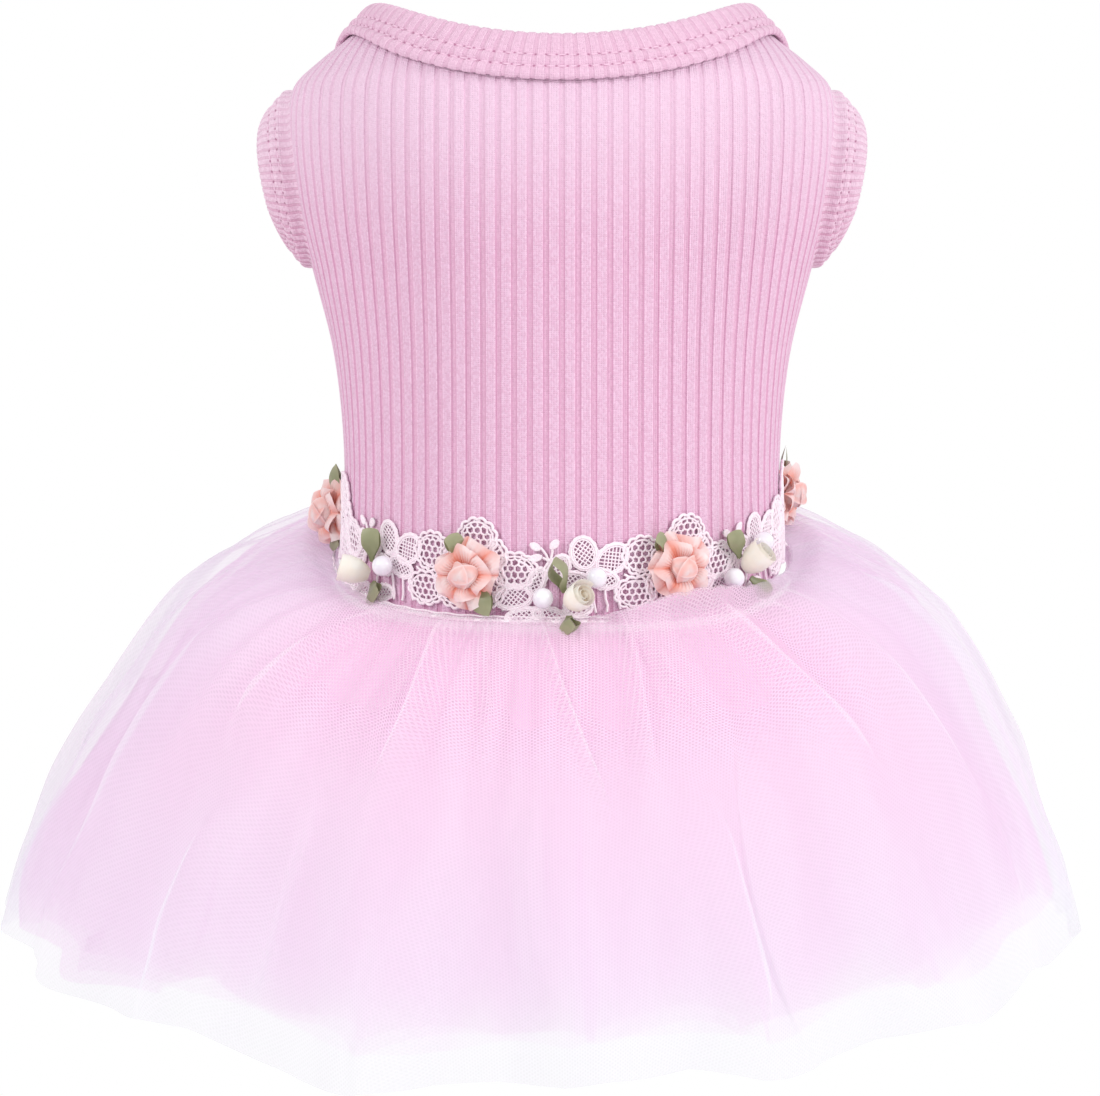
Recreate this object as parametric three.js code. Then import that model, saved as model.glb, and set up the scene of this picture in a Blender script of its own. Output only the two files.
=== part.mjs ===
// A dress for a small dog, held up by the neck and filled out as if worn, with nobody in it.
// A ribbed knit bodice with a bound neck and bound armholes, a lace trim with ribbon flowers and
// pearls along the waist seam, and a gathered skirt of four tulle layers on the back and sides.
// Millimetres, +Z towards the neck, +X to the right as seen from behind, +Y towards the belly.
// The origin is the middle of the neck opening, level with the neck seam at the shoulders.
import * as THREE from "three";
import { mergeVertices } from "three/addons/utils/BufferGeometryUtils.js";

// Thicknesses and gaps
const KNIT_WALL = 1.5;
const LACE_WALL = 1.0;
const TULLE_WALL = 1.0;
const SEAM_GAP = 0.3;

// The bodice's outer surface: one ellipse for each height, wider at the shoulders than at the waist
const BODY_SECTIONS = [
  { z: 14, halfWidth: 42, halfDepth: 33.5, middleY: -1 },
  { z: 8, halfWidth: 46.5, halfDepth: 36, middleY: -1 },
  { z: 0, halfWidth: 52.5, halfDepth: 38.8, middleY: -1 },
  { z: -6, halfWidth: 60, halfDepth: 41, middleY: -1 },
  { z: -13, halfWidth: 67, halfDepth: 43.8, middleY: -1 },
  { z: -26, halfWidth: 69, halfDepth: 48, middleY: 0.5 },
  { z: -42, halfWidth: 67, halfDepth: 52, middleY: 3 },
  { z: -60, halfWidth: 62, halfDepth: 54, middleY: 5 },
  { z: -80, halfWidth: 57, halfDepth: 53, middleY: 4 },
  { z: -104, halfWidth: 54.5, halfDepth: 51, middleY: 2 },
  { z: -130, halfWidth: 54.8, halfDepth: 49.8, middleY: 0 },
  { z: -156, halfWidth: 55.5, halfDepth: 49.5, middleY: -1 },
];

// Heights of the neck band's two edges at the middle of the back, the shoulders and the chest
const NECK_BAND_LOW = { back: -10.5, shoulder: 0, chest: -24 };
const NECK_BAND_HIGH = { back: 1.3, shoulder: 8, chest: -12.5 };
const PANEL_TOP_SHARE = 0.45; // the panels end this share of the way up behind the neck band

// The neck band's section: the share of its height and the distance outside the bodice, up its face,
// over its folded top and down its inner side to the panels' upper edge
const NECK_BAND_SECTION = [
  { share: 0, out: 0.45 },
  { share: 0.02, out: 1.8 },
  { share: 0.45, out: 2.0 },
  { share: 0.9, out: 1.7 },
  { share: 1, out: 0.7 },
  { share: 1, out: -0.5 },
  { share: 0.9, out: -1.3 },
  { share: 0.48, out: -1.4 },
  { share: 0.48, out: 0.5 },
  { share: 0.24, out: 0.55 },
];

// The waist seam is low on the back and rises round the flanks to the belly
const WAIST_BACK_Z = -146;
const WAIST_RISE = 38;
const WAIST_POWER = 1.35;

// The armhole, in degrees round the body from the middle of the back and in shares down the panel
const ARMHOLE = { middleDeg: 98, halfWidthDeg: 19, middleDown: 0.2935, halfDown: 0.1695 };
const SHOULDER_SEAM_NECK_DEG = 92;
const SIDE_SEAM_WAIST_DEG = 108;

// Each arm band stands out from its armhole and leans in towards the armhole's middle
const ARM_BAND = { length: 9.5, lap: 3, leanMiddleDeg: 20, leanEndDeg: 52 };

// Its section: the share of its length from the armhole and the distance outside its middle surface
const ARM_BAND_SECTION = [
  { share: 0.5, out: 1.6 },
  { share: 0.93, out: 1.0 },
  { share: 1, out: 0.1 },
  { share: 0.93, out: -0.8 },
  { share: 0.45, out: -0.6 },
];
const ARM_BAND_LAP = { thick: 1.6, overEdge: 0.4, bulge: 2.2, behindEdge: 0.7, behind: -0.8, inner: 0.4 };

// Tulle layers, from the outside in: length from waist to hem, and how deep each lies at the hem
const TULLE_LAYERS = [
  { name: "skirt_veil", length: 134, hemDepth: 0, colour: 0xfbf6fb },
  { name: "skirt_upper", length: 123, hemDepth: 5, colour: 0xfbcfee },
  { name: "skirt_middle", length: 120, hemDepth: 9, colour: 0xfac6ea },
  { name: "skirt_lower", length: 117, hemDepth: 13, colour: 0xf9bde6 },
];
const SKIRT_LENGTH = TULLE_LAYERS[0].length;
const SKIRT_END_DEG = 122;
const SKIRT_TOP = { out: 2.0, down: 0.8 };
const LAYER_GAP = 0.4;

// How steeply the skirt falls, in degrees below level, at shares of its length from waist to hem.
// The gathers push it out almost level at the flanks, and the right flank hangs a little steeper.
const SKIRT_SLOPES = [
  { share: 0, back: 36, flank: -14 },
  { share: 0.2, back: 52, flank: 12 },
  { share: 0.35, back: 61, flank: 49 },
  { share: 0.55, back: 69, flank: 62 },
  { share: 0.8, back: 76, flank: 69 },
  { share: 1, back: 80, flank: 78 },
];
const RIGHT_FLANK_STEEPER = 5;
const SLOPE_STEPS = 24;

// The skirt's largest folds: where each crest starts and ends, its half width, how far it stands
// out at the hem and how much longer the hem hangs there
const FOLDS = [
  { topDeg: -117, hemDeg: -120, halfDeg: 8, rise: 4, longer: 1 },
  { topDeg: -101, hemDeg: -104, halfDeg: 9, rise: 6, longer: 2 },
  { topDeg: -84, hemDeg: -86, halfDeg: 9, rise: 5, longer: 0 },
  { topDeg: -66, hemDeg: -67, halfDeg: 9, rise: 6, longer: 2 },
  { topDeg: -50, hemDeg: -47, halfDeg: 8, rise: 4, longer: -1 },
  { topDeg: -30, hemDeg: -26, halfDeg: 11, rise: 7, longer: 3 },
  { topDeg: -8, hemDeg: 4, halfDeg: 11, rise: 6, longer: 2 },
  { topDeg: 14, hemDeg: 26, halfDeg: 10, rise: 6, longer: 2 },
  { topDeg: 36, hemDeg: 49, halfDeg: 11, rise: 7, longer: 0 },
  { topDeg: 56, hemDeg: 66, halfDeg: 8, rise: 4, longer: -5 },
  { topDeg: 74, hemDeg: 83, halfDeg: 9, rise: 6, longer: -4 },
  { topDeg: 92, hemDeg: 100, halfDeg: 8, rise: 5, longer: -5 },
  { topDeg: 110, hemDeg: 117, halfDeg: 9, rise: 5, longer: -2 },
];

// The lace trim and its scalloped upper edge
const LACE = { endDeg: 119, height: 17, scallop: 3.5, scallopPitchDeg: 29.5, scallopAtDeg: -25 };

// Ribbon flowers along the lace: angle round the body and height above the waist seam. A rose is
// a sewn-down stalk, a ruffle with five lobes and a folded heart; a bud is a cone rolled up.
const FLOWERS = [
  { name: "rose_left_side", kind: "rose", aroundDeg: -93, above: 10.5 },
  { name: "bud_left", kind: "bud", aroundDeg: -56, above: 6.2, leanDeg: 155 },
  { name: "rose_left", kind: "rose", aroundDeg: -24, above: 10.3 },
  { name: "bud_middle", kind: "bud", aroundDeg: 1.5, above: 3.8, leanDeg: 30 },
  { name: "rose_right", kind: "rose", aroundDeg: 30, above: 11.5 },
  { name: "bud_right", kind: "bud", aroundDeg: 52, above: 8.2, leanDeg: 70 },
  { name: "rose_right_side", kind: "rose", aroundDeg: 105, above: 11 },
];
const ROSE_LOBES = 5;
const ROSE_PROFILE = [
  { radius: 0, height: 0.3, wave: 0 },
  { radius: 3.6, height: 0.3, wave: 0 },
  { radius: 3.9, height: 2.8, wave: 0 },
  { radius: 8.6, height: 4.0, wave: 0.09 },
  { radius: 8.6, height: 5.4, wave: 0.09 },
  { radius: 4.3, height: 5.2, wave: 0.05 },
  { radius: 3.6, height: 7.6, wave: 0 },
  { radius: 0, height: 8.4, wave: 0 },
];
const BUD = { tiltDeg: 38, footHeight: 1.6 };
const BUD_PROFILE = [
  { radius: 0, height: 0, wave: 0 },
  { radius: 1.7, height: 0, wave: 0 },
  { radius: 3.7, height: 3.6, wave: 0 },
  { radius: 4.3, height: 6.4, wave: 0 },
  { radius: 2.7, height: 8, wave: 0 },
  { radius: 0, height: 6.9, wave: 0 },
];
const ROSE_STEPS = 20;
const BUD_STEPS = 12;

// Green ribbon leaves: the flower each belongs to, its direction from there (0 is right, 90 is up),
// where its near end starts, its length, its width and how far its tip is raised
const LEAF_THICKNESS = 1.8;
const LEAF_CURVE = { footFull: 0.62, tipFrom: 0.55, tipFull: 0.66 };
const LEAVES = [
  { of: "rose_left_side", turnDeg: 75, from: 4.4, length: 8.4, width: 5.0, tiltDeg: 0 },
  { of: "rose_left_side", turnDeg: -70, from: 4.4, length: 5.4, width: 5.0, tiltDeg: 0 },
  { of: "bud_left", turnDeg: 78, from: 3.2, length: 8.6, width: 5.6, tiltDeg: 0 },
  { of: "bud_left", turnDeg: -52, from: 2.8, length: 4.8, width: 5.6, tiltDeg: 0 },
  { of: "rose_left", turnDeg: 112, from: 4.4, length: 7.2, width: 5.4, tiltDeg: 0 },
  { of: "rose_left", turnDeg: -58, from: 4.4, length: 7.6, width: 5.6, tiltDeg: 0 },
  { of: "bud_middle", turnDeg: 108, from: 3.2, length: 9.2, width: 6.4, tiltDeg: 0 },
  { of: "bud_middle", turnDeg: -80, from: 3.0, length: 5.4, width: 6.4, tiltDeg: 38 },
  { of: "rose_right", turnDeg: 128, from: 4.4, length: 6.6, width: 5.4, tiltDeg: 0 },
  { of: "bud_right", turnDeg: 122, from: 4.2, length: 7.4, width: 5.6, tiltDeg: 0 },
  { of: "bud_right", turnDeg: -42, from: 3.2, length: 6.2, width: 4.6, tiltDeg: 0 },
  { of: "rose_right_side", turnDeg: 100, from: 4.4, length: 8.0, width: 5.0, tiltDeg: 0 },
];

// Pearls sewn beside the buds
const PEARL_RADIUS = 2.6;
const PEARLS = [
  { name: "pearl_left", aroundDeg: -49.3, above: 9.6 },
  { name: "pearl_middle_low", aroundDeg: -4.6, above: 5.2 },
  { name: "pearl_middle_high", aroundDeg: 8.4, above: 10.2 },
  { name: "pearl_right_low", aroundDeg: 46.5, above: 7 },
  { name: "pearl_right_high", aroundDeg: 58.5, above: 13.6 },
];

// Mesh fineness
const PANEL_TOP_ROWS = [0, 0.035, 0.08];
const PANEL_ROWS = { besideArmhole: 9, belowArmhole: 6 };
const BACK_COLUMNS = 22;
const FRONT_COLUMNS = 16;
const BAND_STEPS = 40;
const ARM_BAND_STEPS = 22;
const SKIRT_COLUMNS = 52;
const SKIRT_ROW_SHARES = [0, 0.09, 0.21, 0.38, 0.65];
const LACE_COLUMNS = 40;
const LACE_ROWS = 2;

const rad = THREE.MathUtils.degToRad;
const { lerp, smoothstep } = THREE.MathUtils;

// Reads one column of the body table at height z with a smooth curve through its rows
function bodySize(z, column) {
  const rows = BODY_SECTIONS;
  let k = 0;
  while (k < rows.length - 2 && z < rows[k + 1].z) k += 1;
  const slope = (i) => {
    const a = rows[Math.max(i - 1, 0)];
    const b = rows[Math.min(i + 1, rows.length - 1)];
    return (b[column] - a[column]) / (b.z - a.z);
  };
  const span = rows[k + 1].z - rows[k].z;
  const u = (z - rows[k].z) / span;
  const [u2, u3] = [u * u, u * u * u];
  return (
    (2 * u3 - 3 * u2 + 1) * rows[k][column] +
    (u3 - 2 * u2 + u) * span * slope(k) +
    (3 * u2 - 2 * u3) * rows[k + 1][column] +
    (u3 - u2) * span * slope(k + 1)
  );
}

// A point on the bodice's outer surface; angle in radians, 0 at the middle of the back
function onBody(angle, z) {
  const x = bodySize(z, "halfWidth") * Math.sin(angle);
  const y = bodySize(z, "middleY") - bodySize(z, "halfDepth") * Math.cos(angle);
  return new THREE.Vector3(x, y, z);
}

// The surface's directions there: across (rising angle), up and outward
function bodyFrame(angle, z) {
  const step = 1e-3;
  const across = onBody(angle + step, z).sub(onBody(angle - step, z)).normalize();
  const slope = onBody(angle, z + step * 50).sub(onBody(angle, z - step * 50));
  const out = new THREE.Vector3().crossVectors(across, slope).normalize();
  const up = new THREE.Vector3().crossVectors(out, across).normalize();
  return { across, up, out };
}

// A point a distance outside the bodice's surface
function offBody(angle, z, distance) {
  return onBody(angle, z).addScaledVector(bodyFrame(angle, z).out, distance);
}

// A height that passes through its back, shoulder and chest values round the neck
function neckHeight(angle, levels) {
  const mean = (levels.back + levels.chest) / 2;
  const twice = (mean - levels.shoulder) / 2;
  const once = (levels.back - levels.chest) / 2;
  return mean - twice + once * Math.cos(angle) + twice * Math.cos(2 * angle);
}

function waistZ(angle) {
  return WAIST_BACK_Z + WAIST_RISE * Math.pow((1 - Math.cos(angle)) / 2, WAIST_POWER);
}

function bandZ(angle, share) {
  return lerp(neckHeight(angle, NECK_BAND_LOW), neckHeight(angle, NECK_BAND_HIGH), share);
}

// Height on a panel: down is 0 at its top edge and 1 at the waist seam
function panelZ(angle, down) {
  return lerp(bandZ(angle, PANEL_TOP_SHARE), waistZ(angle), down);
}

// The angle of the panels' shared edge: shoulder seam, armhole, then side seam.
// Side -1 is the back panel's edge of the armhole and 1 the front panel's.
function edgeAngle(down, side) {
  const { middleDeg, halfWidthDeg, middleDown, halfDown } = ARMHOLE;
  const top = middleDown - halfDown;
  const bottom = middleDown + halfDown;
  if (down <= top) return rad(lerp(SHOULDER_SEAM_NECK_DEG, middleDeg, down / top));
  if (down >= bottom) {
    return rad(lerp(middleDeg, SIDE_SEAM_WAIST_DEG, (down - bottom) / (1 - bottom)));
  }
  const across = Math.sqrt(1 - ((down - middleDown) / halfDown) ** 2);
  return rad(middleDeg + side * halfWidthDeg * across);
}

// Shares down the panels, closer together where the armhole turns
function panelRows() {
  const { middleDown, halfDown } = ARMHOLE;
  const bottom = middleDown + halfDown;
  const rows = [...PANEL_TOP_ROWS];
  for (let k = 0; k < PANEL_ROWS.besideArmhole; k += 1) {
    rows.push(middleDown - halfDown * Math.cos((Math.PI * k) / PANEL_ROWS.besideArmhole));
  }
  for (let k = 0; k <= PANEL_ROWS.belowArmhole; k += 1) {
    rows.push(lerp(bottom, 1, k / PANEL_ROWS.belowArmhole));
  }
  return rows;
}

// A mesh from points and triangles, with equal points merged
function meshOf(points, triangles) {
  const geometry = new THREE.BufferGeometry();
  geometry.setAttribute(
    "position",
    new THREE.Float32BufferAttribute(points.flatMap((p) => [p.x, p.y, p.z]), 3),
  );
  geometry.setIndex(triangles.flat());
  const merged = mergeVertices(geometry, 1e-4);
  merged.computeVertexNormals();
  return merged;
}

// A loft through closed outlines of equal length. Ends are closed if it isn't a ring.
// Each outline runs down the outer face and back up the inner one, mirror-matched for the end caps.
function loft(outlines, ring) {
  const size = outlines[0].length;
  const points = outlines.flat();
  const triangles = [];
  const spans = ring ? outlines.length : outlines.length - 1;
  for (let i = 0; i < spans; i += 1) {
    const here = i * size;
    const next = ((i + 1) % outlines.length) * size;
    for (let j = 0; j < size; j += 1) {
      const k = (j + 1) % size;
      triangles.push([here + j, here + k, next + k], [here + j, next + k, next + j]);
    }
  }
  if (!ring) {
    const last = (outlines.length - 1) * size;
    for (let j = 0; j < size / 2 - 1; j += 1) {
      const [a, b, c, d] = [j, j + 1, size - 2 - j, size - 1 - j];
      triangles.push([a, c, b], [a, d, c]);
      triangles.push([last + a, last + b, last + c], [last + a, last + c, last + d]);
    }
  }
  return meshOf(points, triangles);
}

// A wall between an outer and an inner face, each given as a point for (column, row)
function wall(columns, rows, outer, inner) {
  const outlines = [];
  for (let i = 0; i <= columns; i += 1) {
    const down = [];
    const up = [];
    for (let j = 0; j <= rows; j += 1) {
      down.push(outer(i, j));
      up.unshift(inner(i, j));
    }
    outlines.push([...down, ...up]);
  }
  return loft(outlines, false);
}

// The back or the chest panel, held off the other one by half a seam gap at each side
function panel(columns, middle, side) {
  const rows = panelRows();
  const angleAt = (i, j) => {
    const down = rows[j];
    const edge = edgeAngle(down, side);
    const half = side < 0 ? edge : Math.PI - edge;
    const radius = bodySize(panelZ(edge, down), "halfDepth");
    const reach = half - SEAM_GAP / 2 / radius;
    return middle + lerp(-reach, reach, i / columns);
  };
  const at = (inset) => (i, j) => {
    const angle = angleAt(i, j);
    return offBody(angle, panelZ(angle, rows[j]), -inset);
  };
  return wall(columns, rows.length - 1, at(0), at(KNIT_WALL));
}

// The neck binding: its lower half laps the panels and its upper half wraps their top edge
function neckBand() {
  const outlines = [];
  for (let i = 0; i < BAND_STEPS; i += 1) {
    const angle = (2 * Math.PI * i) / BAND_STEPS;
    const outline = NECK_BAND_SECTION.map(({ share, out }) => offBody(angle, bandZ(angle, share), out));
    outlines.push(outline.reverse());
  }
  return loft(outlines, true);
}

// A point on the armhole's edge and the directions there, on the right (sign 1) or left (-1)
function armholePoint(turn, sign) {
  const { middleDeg, halfWidthDeg, middleDown, halfDown } = ARMHOLE;
  const angle = sign * rad(middleDeg + halfWidthDeg * Math.cos(turn));
  const z = panelZ(angle, middleDown - halfDown * Math.sin(turn));
  const middle = onBody(sign * rad(middleDeg), panelZ(rad(middleDeg), middleDown));
  const point = onBody(angle, z);
  const { out } = bodyFrame(angle, z);
  const axis = new THREE.Vector3(sign, 0.12, 0).normalize();
  const inward = middle.clone().sub(point);
  const along = inward.clone().projectOnPlane(out).normalize();
  const centre = inward.projectOnPlane(axis).normalize();
  return { point, out, axis, along, centre };
}

function armBand(sign) {
  const { length, lap, leanMiddleDeg, leanEndDeg } = ARM_BAND;
  const { thick, overEdge, bulge, behindEdge, behind, inner } = ARM_BAND_LAP;
  const outlines = [];
  for (let i = 0; i < ARM_BAND_STEPS; i += 1) {
    const turn = (2 * Math.PI * i) / ARM_BAND_STEPS;
    const { point, out, axis, along, centre } = armholePoint(turn, sign);
    const lean = rad(lerp(leanMiddleDeg, leanEndDeg, Math.sin(turn) ** 2));
    const forth = axis.clone().multiplyScalar(Math.cos(lean)).addScaledVector(centre, Math.sin(lean));
    const face = axis.clone().multiplyScalar(Math.sin(lean)).addScaledVector(centre, -Math.cos(lean));
    const onPanel = (a, n) => point.clone().addScaledVector(along, a).addScaledVector(out, n);
    const onBand = (d, w) => point.clone().addScaledVector(forth, d).addScaledVector(face, w);
    const outline = [
      onPanel(-lap, SEAM_GAP),
      onPanel(-lap, thick),
      onPanel(-overEdge, bulge),
      ...ARM_BAND_SECTION.map((row) => onBand(length * row.share, row.out)),
      onPanel(behindEdge, behind),
      onPanel(inner, SEAM_GAP),
    ];
    outlines.push(sign > 0 ? outline.reverse() : outline);
  }
  return loft(outlines, true);
}

// How far the folds stand out at this place on the skirt; share is 0 at the waist and 1 at the hem
function foldAt(degrees, share, column) {
  let sum = 0;
  for (const fold of FOLDS) {
    const away = Math.abs(degrees - lerp(fold.topDeg, fold.hemDeg, share)) / fold.halfDeg;
    if (away < 1) sum += (fold[column] * (1 + Math.cos(Math.PI * away))) / 2;
  }
  return sum * Math.pow(share, 1.2);
}

// The skirt's slope in radians at a share of its length; flank is 0 at the back and 1 at the side
function skirtSlope(share, flank) {
  const k = SKIRT_SLOPES.findIndex((row) => row.share >= Math.min(share, 1));
  const high = SKIRT_SLOPES[Math.max(k, 1)];
  const low = SKIRT_SLOPES[Math.max(k, 1) - 1];
  const part = (share - low.share) / (high.share - low.share);
  return rad(lerp(lerp(low.back, high.back, part), lerp(low.flank, high.flank, part), flank));
}

// A point on the outermost layer's face
function skirtFace(degrees, share) {
  const side = Math.abs(degrees);
  const facingDeg = side < 90 ? degrees : Math.sign(degrees) * lerp(90, side, 0.6);
  const outward = new THREE.Vector3(Math.sin(rad(facingDeg)), -Math.cos(rad(facingDeg)), 0);
  const angle = rad(degrees);
  const flank = smoothstep(side, 10, 88);
  const steeper = degrees > 0 ? rad(RIGHT_FLANK_STEEPER) * flank : 0;
  const length = SKIRT_LENGTH + foldAt(degrees, share, "longer");
  let reach = SKIRT_TOP.out;
  let drop = SKIRT_TOP.down;
  for (let k = 0; k < SLOPE_STEPS; k += 1) {
    const slope = skirtSlope((share * (k + 0.5)) / SLOPE_STEPS, flank) + steeper;
    reach += (length * share * Math.cos(slope)) / SLOPE_STEPS;
    drop += (length * share * Math.sin(slope)) / SLOPE_STEPS;
  }
  const slope = skirtSlope(share, flank) + steeper;
  const raised = foldAt(degrees, share, "rise");
  return onBody(angle, waistZ(angle))
    .addScaledVector(outward, reach + raised * Math.sin(slope))
    .add(new THREE.Vector3(0, 0, raised * Math.cos(slope) - drop));
}

// A point a depth inside that face, square to it
function onSkirt(degrees, share, depth) {
  const [low, high] = [Math.max(share - 0.01, 0), Math.min(share + 0.01, 1)];
  const across = skirtFace(degrees + 1, share).sub(skirtFace(degrees - 1, share));
  const downward = skirtFace(degrees, high).sub(skirtFace(degrees, low));
  const inward = across.cross(downward).normalize();
  return skirtFace(degrees, share).addScaledVector(inward, depth);
}

function tulleLayer(layer, index) {
  const shares = [...SKIRT_ROW_SHARES, layer.length / SKIRT_LENGTH];
  const face = (within) => (i, j) => {
    const degrees = lerp(-SKIRT_END_DEG, SKIRT_END_DEG, i / SKIRT_COLUMNS);
    const nested = index * (TULLE_WALL + LAYER_GAP) + layer.hemDepth * shares[j];
    return onSkirt(degrees, shares[j], nested + within);
  };
  return wall(SKIRT_COLUMNS, shares.length - 1, face(0), face(TULLE_WALL));
}

function laceTrim() {
  const face = (out) => (i, j) => {
    const degrees = lerp(-LACE.endDeg, LACE.endDeg, i / LACE_COLUMNS);
    const wave = Math.cos((2 * Math.PI * (degrees - LACE.scallopAtDeg)) / LACE.scallopPitchDeg);
    const top = LACE.height + LACE.scallop * wave;
    const angle = rad(degrees);
    return offBody(angle, waistZ(angle) + top * (1 - j / LACE_ROWS), out);
  };
  return wall(LACE_COLUMNS, LACE_ROWS, face(SEAM_GAP + LACE_WALL), face(SEAM_GAP));
}

// The place on the lace's outer face where a flower, leaf or pearl is sewn, as a matrix:
// x across, y up, z outward
function onLace(aroundDeg, above) {
  const angle = rad(aroundDeg);
  const z = waistZ(angle) + above;
  const { across, up, out } = bodyFrame(angle, z);
  const matrix = new THREE.Matrix4().makeBasis(across, up, out);
  return matrix.setPosition(offBody(angle, z, SEAM_GAP + LACE_WALL));
}

// A solid from a profile turned about z, with radii that wave round it in a number of lobes
function turned(profile, steps, lobes) {
  const points = [new THREE.Vector3(0, 0, profile[0].height)];
  for (const { radius, height, wave } of profile.slice(1, -1)) {
    for (let i = 0; i < steps; i += 1) {
      const turn = (2 * Math.PI * i) / steps;
      const r = radius * (1 + wave * Math.cos(lobes * turn));
      points.push(new THREE.Vector3(r * Math.cos(turn), r * Math.sin(turn), height));
    }
  }
  points.push(new THREE.Vector3(0, 0, profile.at(-1).height));
  const rings = profile.length - 2;
  const triangles = [];
  for (let i = 0; i < steps; i += 1) {
    const next = (i + 1) % steps;
    triangles.push([0, 1 + next, 1 + i]);
    for (let k = 0; k < rings - 1; k += 1) {
      const [low, high] = [1 + k * steps, 1 + (k + 1) * steps];
      triangles.push([low + i, low + next, high + next], [low + i, high + next, high + i]);
    }
    const top = 1 + (rings - 1) * steps;
    triangles.push([top + i, top + next, points.length - 1]);
  }
  return meshOf(points, triangles);
}

// A rolled ribbon bud: a cone that opens upward, leaning over its foot
function bud(leanDeg) {
  const tilt = new THREE.Matrix4().makeRotationY(rad(BUD.tiltDeg));
  const turn = new THREE.Matrix4().makeRotationZ(rad(leanDeg));
  const solid = turned(BUD_PROFILE, BUD_STEPS, 0);
  return solid.applyMatrix4(tilt).applyMatrix4(turn).translate(0, 0, BUD.footHeight);
}

// A looped ribbon leaf: round at its near end, pointed at its far end
function leaf({ length, width }) {
  const { footFull, tipFrom, tipFull } = LEAF_CURVE;
  const outline = new THREE.Shape();
  outline.moveTo(0, 0);
  outline.bezierCurveTo(0, -width * footFull, length * tipFrom, -width * tipFull, length, 0);
  outline.bezierCurveTo(length * tipFrom, width * tipFull, 0, width * footFull, 0, 0);
  return new THREE.ExtrudeGeometry(outline, {
    depth: LEAF_THICKNESS,
    bevelEnabled: false,
    curveSegments: 7,
  });
}

const COLOURS = {
  knit: 0xe9b8d5,
  binding: 0xeebfdb,
  lace: 0xf7eef4,
  coral: 0xf2b09a,
  ivory: 0xf4e6d2,
  sage: 0x97a07a,
  pearl: 0xf1eef2,
};

function material(colour, roughness) {
  return new THREE.MeshStandardMaterial({ color: colour, roughness, metalness: 0 });
}

const knit = material(COLOURS.knit, 0.85);
const binding = material(COLOURS.binding, 0.85);
const dress = new THREE.Group();

function add(name, geometry, finish, matrix) {
  const mesh = new THREE.Mesh(geometry, finish);
  mesh.name = name;
  if (matrix) matrix.decompose(mesh.position, mesh.quaternion, mesh.scale);
  dress.add(mesh);
}

// The bodice
add("back_panel", panel(BACK_COLUMNS, 0, -1), knit);
add("chest_panel", panel(FRONT_COLUMNS, Math.PI, 1), knit);
add("neck_band", neckBand(), binding);
add("arm_band_left", armBand(-1), binding);
add("arm_band_right", armBand(1), binding);

// The skirt
TULLE_LAYERS.forEach((layer, index) => {
  add(layer.name, tulleLayer(layer, index), material(layer.colour, 0.9));
});

// The lace and what is sewn on it
add("lace_trim", laceTrim(), material(COLOURS.lace, 0.8));
const coral = material(COLOURS.coral, 0.45);
const ivory = material(COLOURS.ivory, 0.45);
const sage = material(COLOURS.sage, 0.5);
const pearl = material(COLOURS.pearl, 0.2);
const leafCounts = {};
for (const flower of FLOWERS) {
  const place = onLace(flower.aroundDeg, flower.above);
  if (flower.kind === "rose") add(flower.name, turned(ROSE_PROFILE, ROSE_STEPS, ROSE_LOBES), coral, place);
  else add(flower.name, bud(flower.leanDeg), ivory, place);
}
for (const row of LEAVES) {
  const flower = FLOWERS.find((each) => each.name === row.of);
  leafCounts[row.of] = (leafCounts[row.of] ?? 0) + 1;
  const place = onLace(flower.aroundDeg, flower.above)
    .multiply(new THREE.Matrix4().makeRotationZ(rad(row.turnDeg)))
    .multiply(new THREE.Matrix4().makeTranslation(row.from, 0, SEAM_GAP + 0.1))
    .multiply(new THREE.Matrix4().makeRotationY(-rad(row.tiltDeg)));
  add(`leaf_${row.of}_${leafCounts[row.of]}`, leaf(row), sage, place);
}
for (const { name, aroundDeg, above } of PEARLS) {
  const place = onLace(aroundDeg, above)
    .multiply(new THREE.Matrix4().makeTranslation(0, 0, SEAM_GAP + PEARL_RADIUS));
  add(name, new THREE.SphereGeometry(PEARL_RADIUS, 10, 7), pearl, place);
}

export default dress;
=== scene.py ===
# %% [markdown]
# # A dress for a small dog, in rib knit, lace and tulle
# The dress is seen from behind, filled out as if worn, with nobody in it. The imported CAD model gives
# the frame: where each panel, band, layer and trim is. This script gives each of them its surface:
# knitted ribs, stitched bands, cord lace, ribbon flowers and gathered net.
# Lengths are in millimetres until a mesh is made, and angles go round the body from the middle of
# the back, where +Z is towards the neck, +X is right and +Y is towards the belly.

# %% Load the frame
import math

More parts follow.
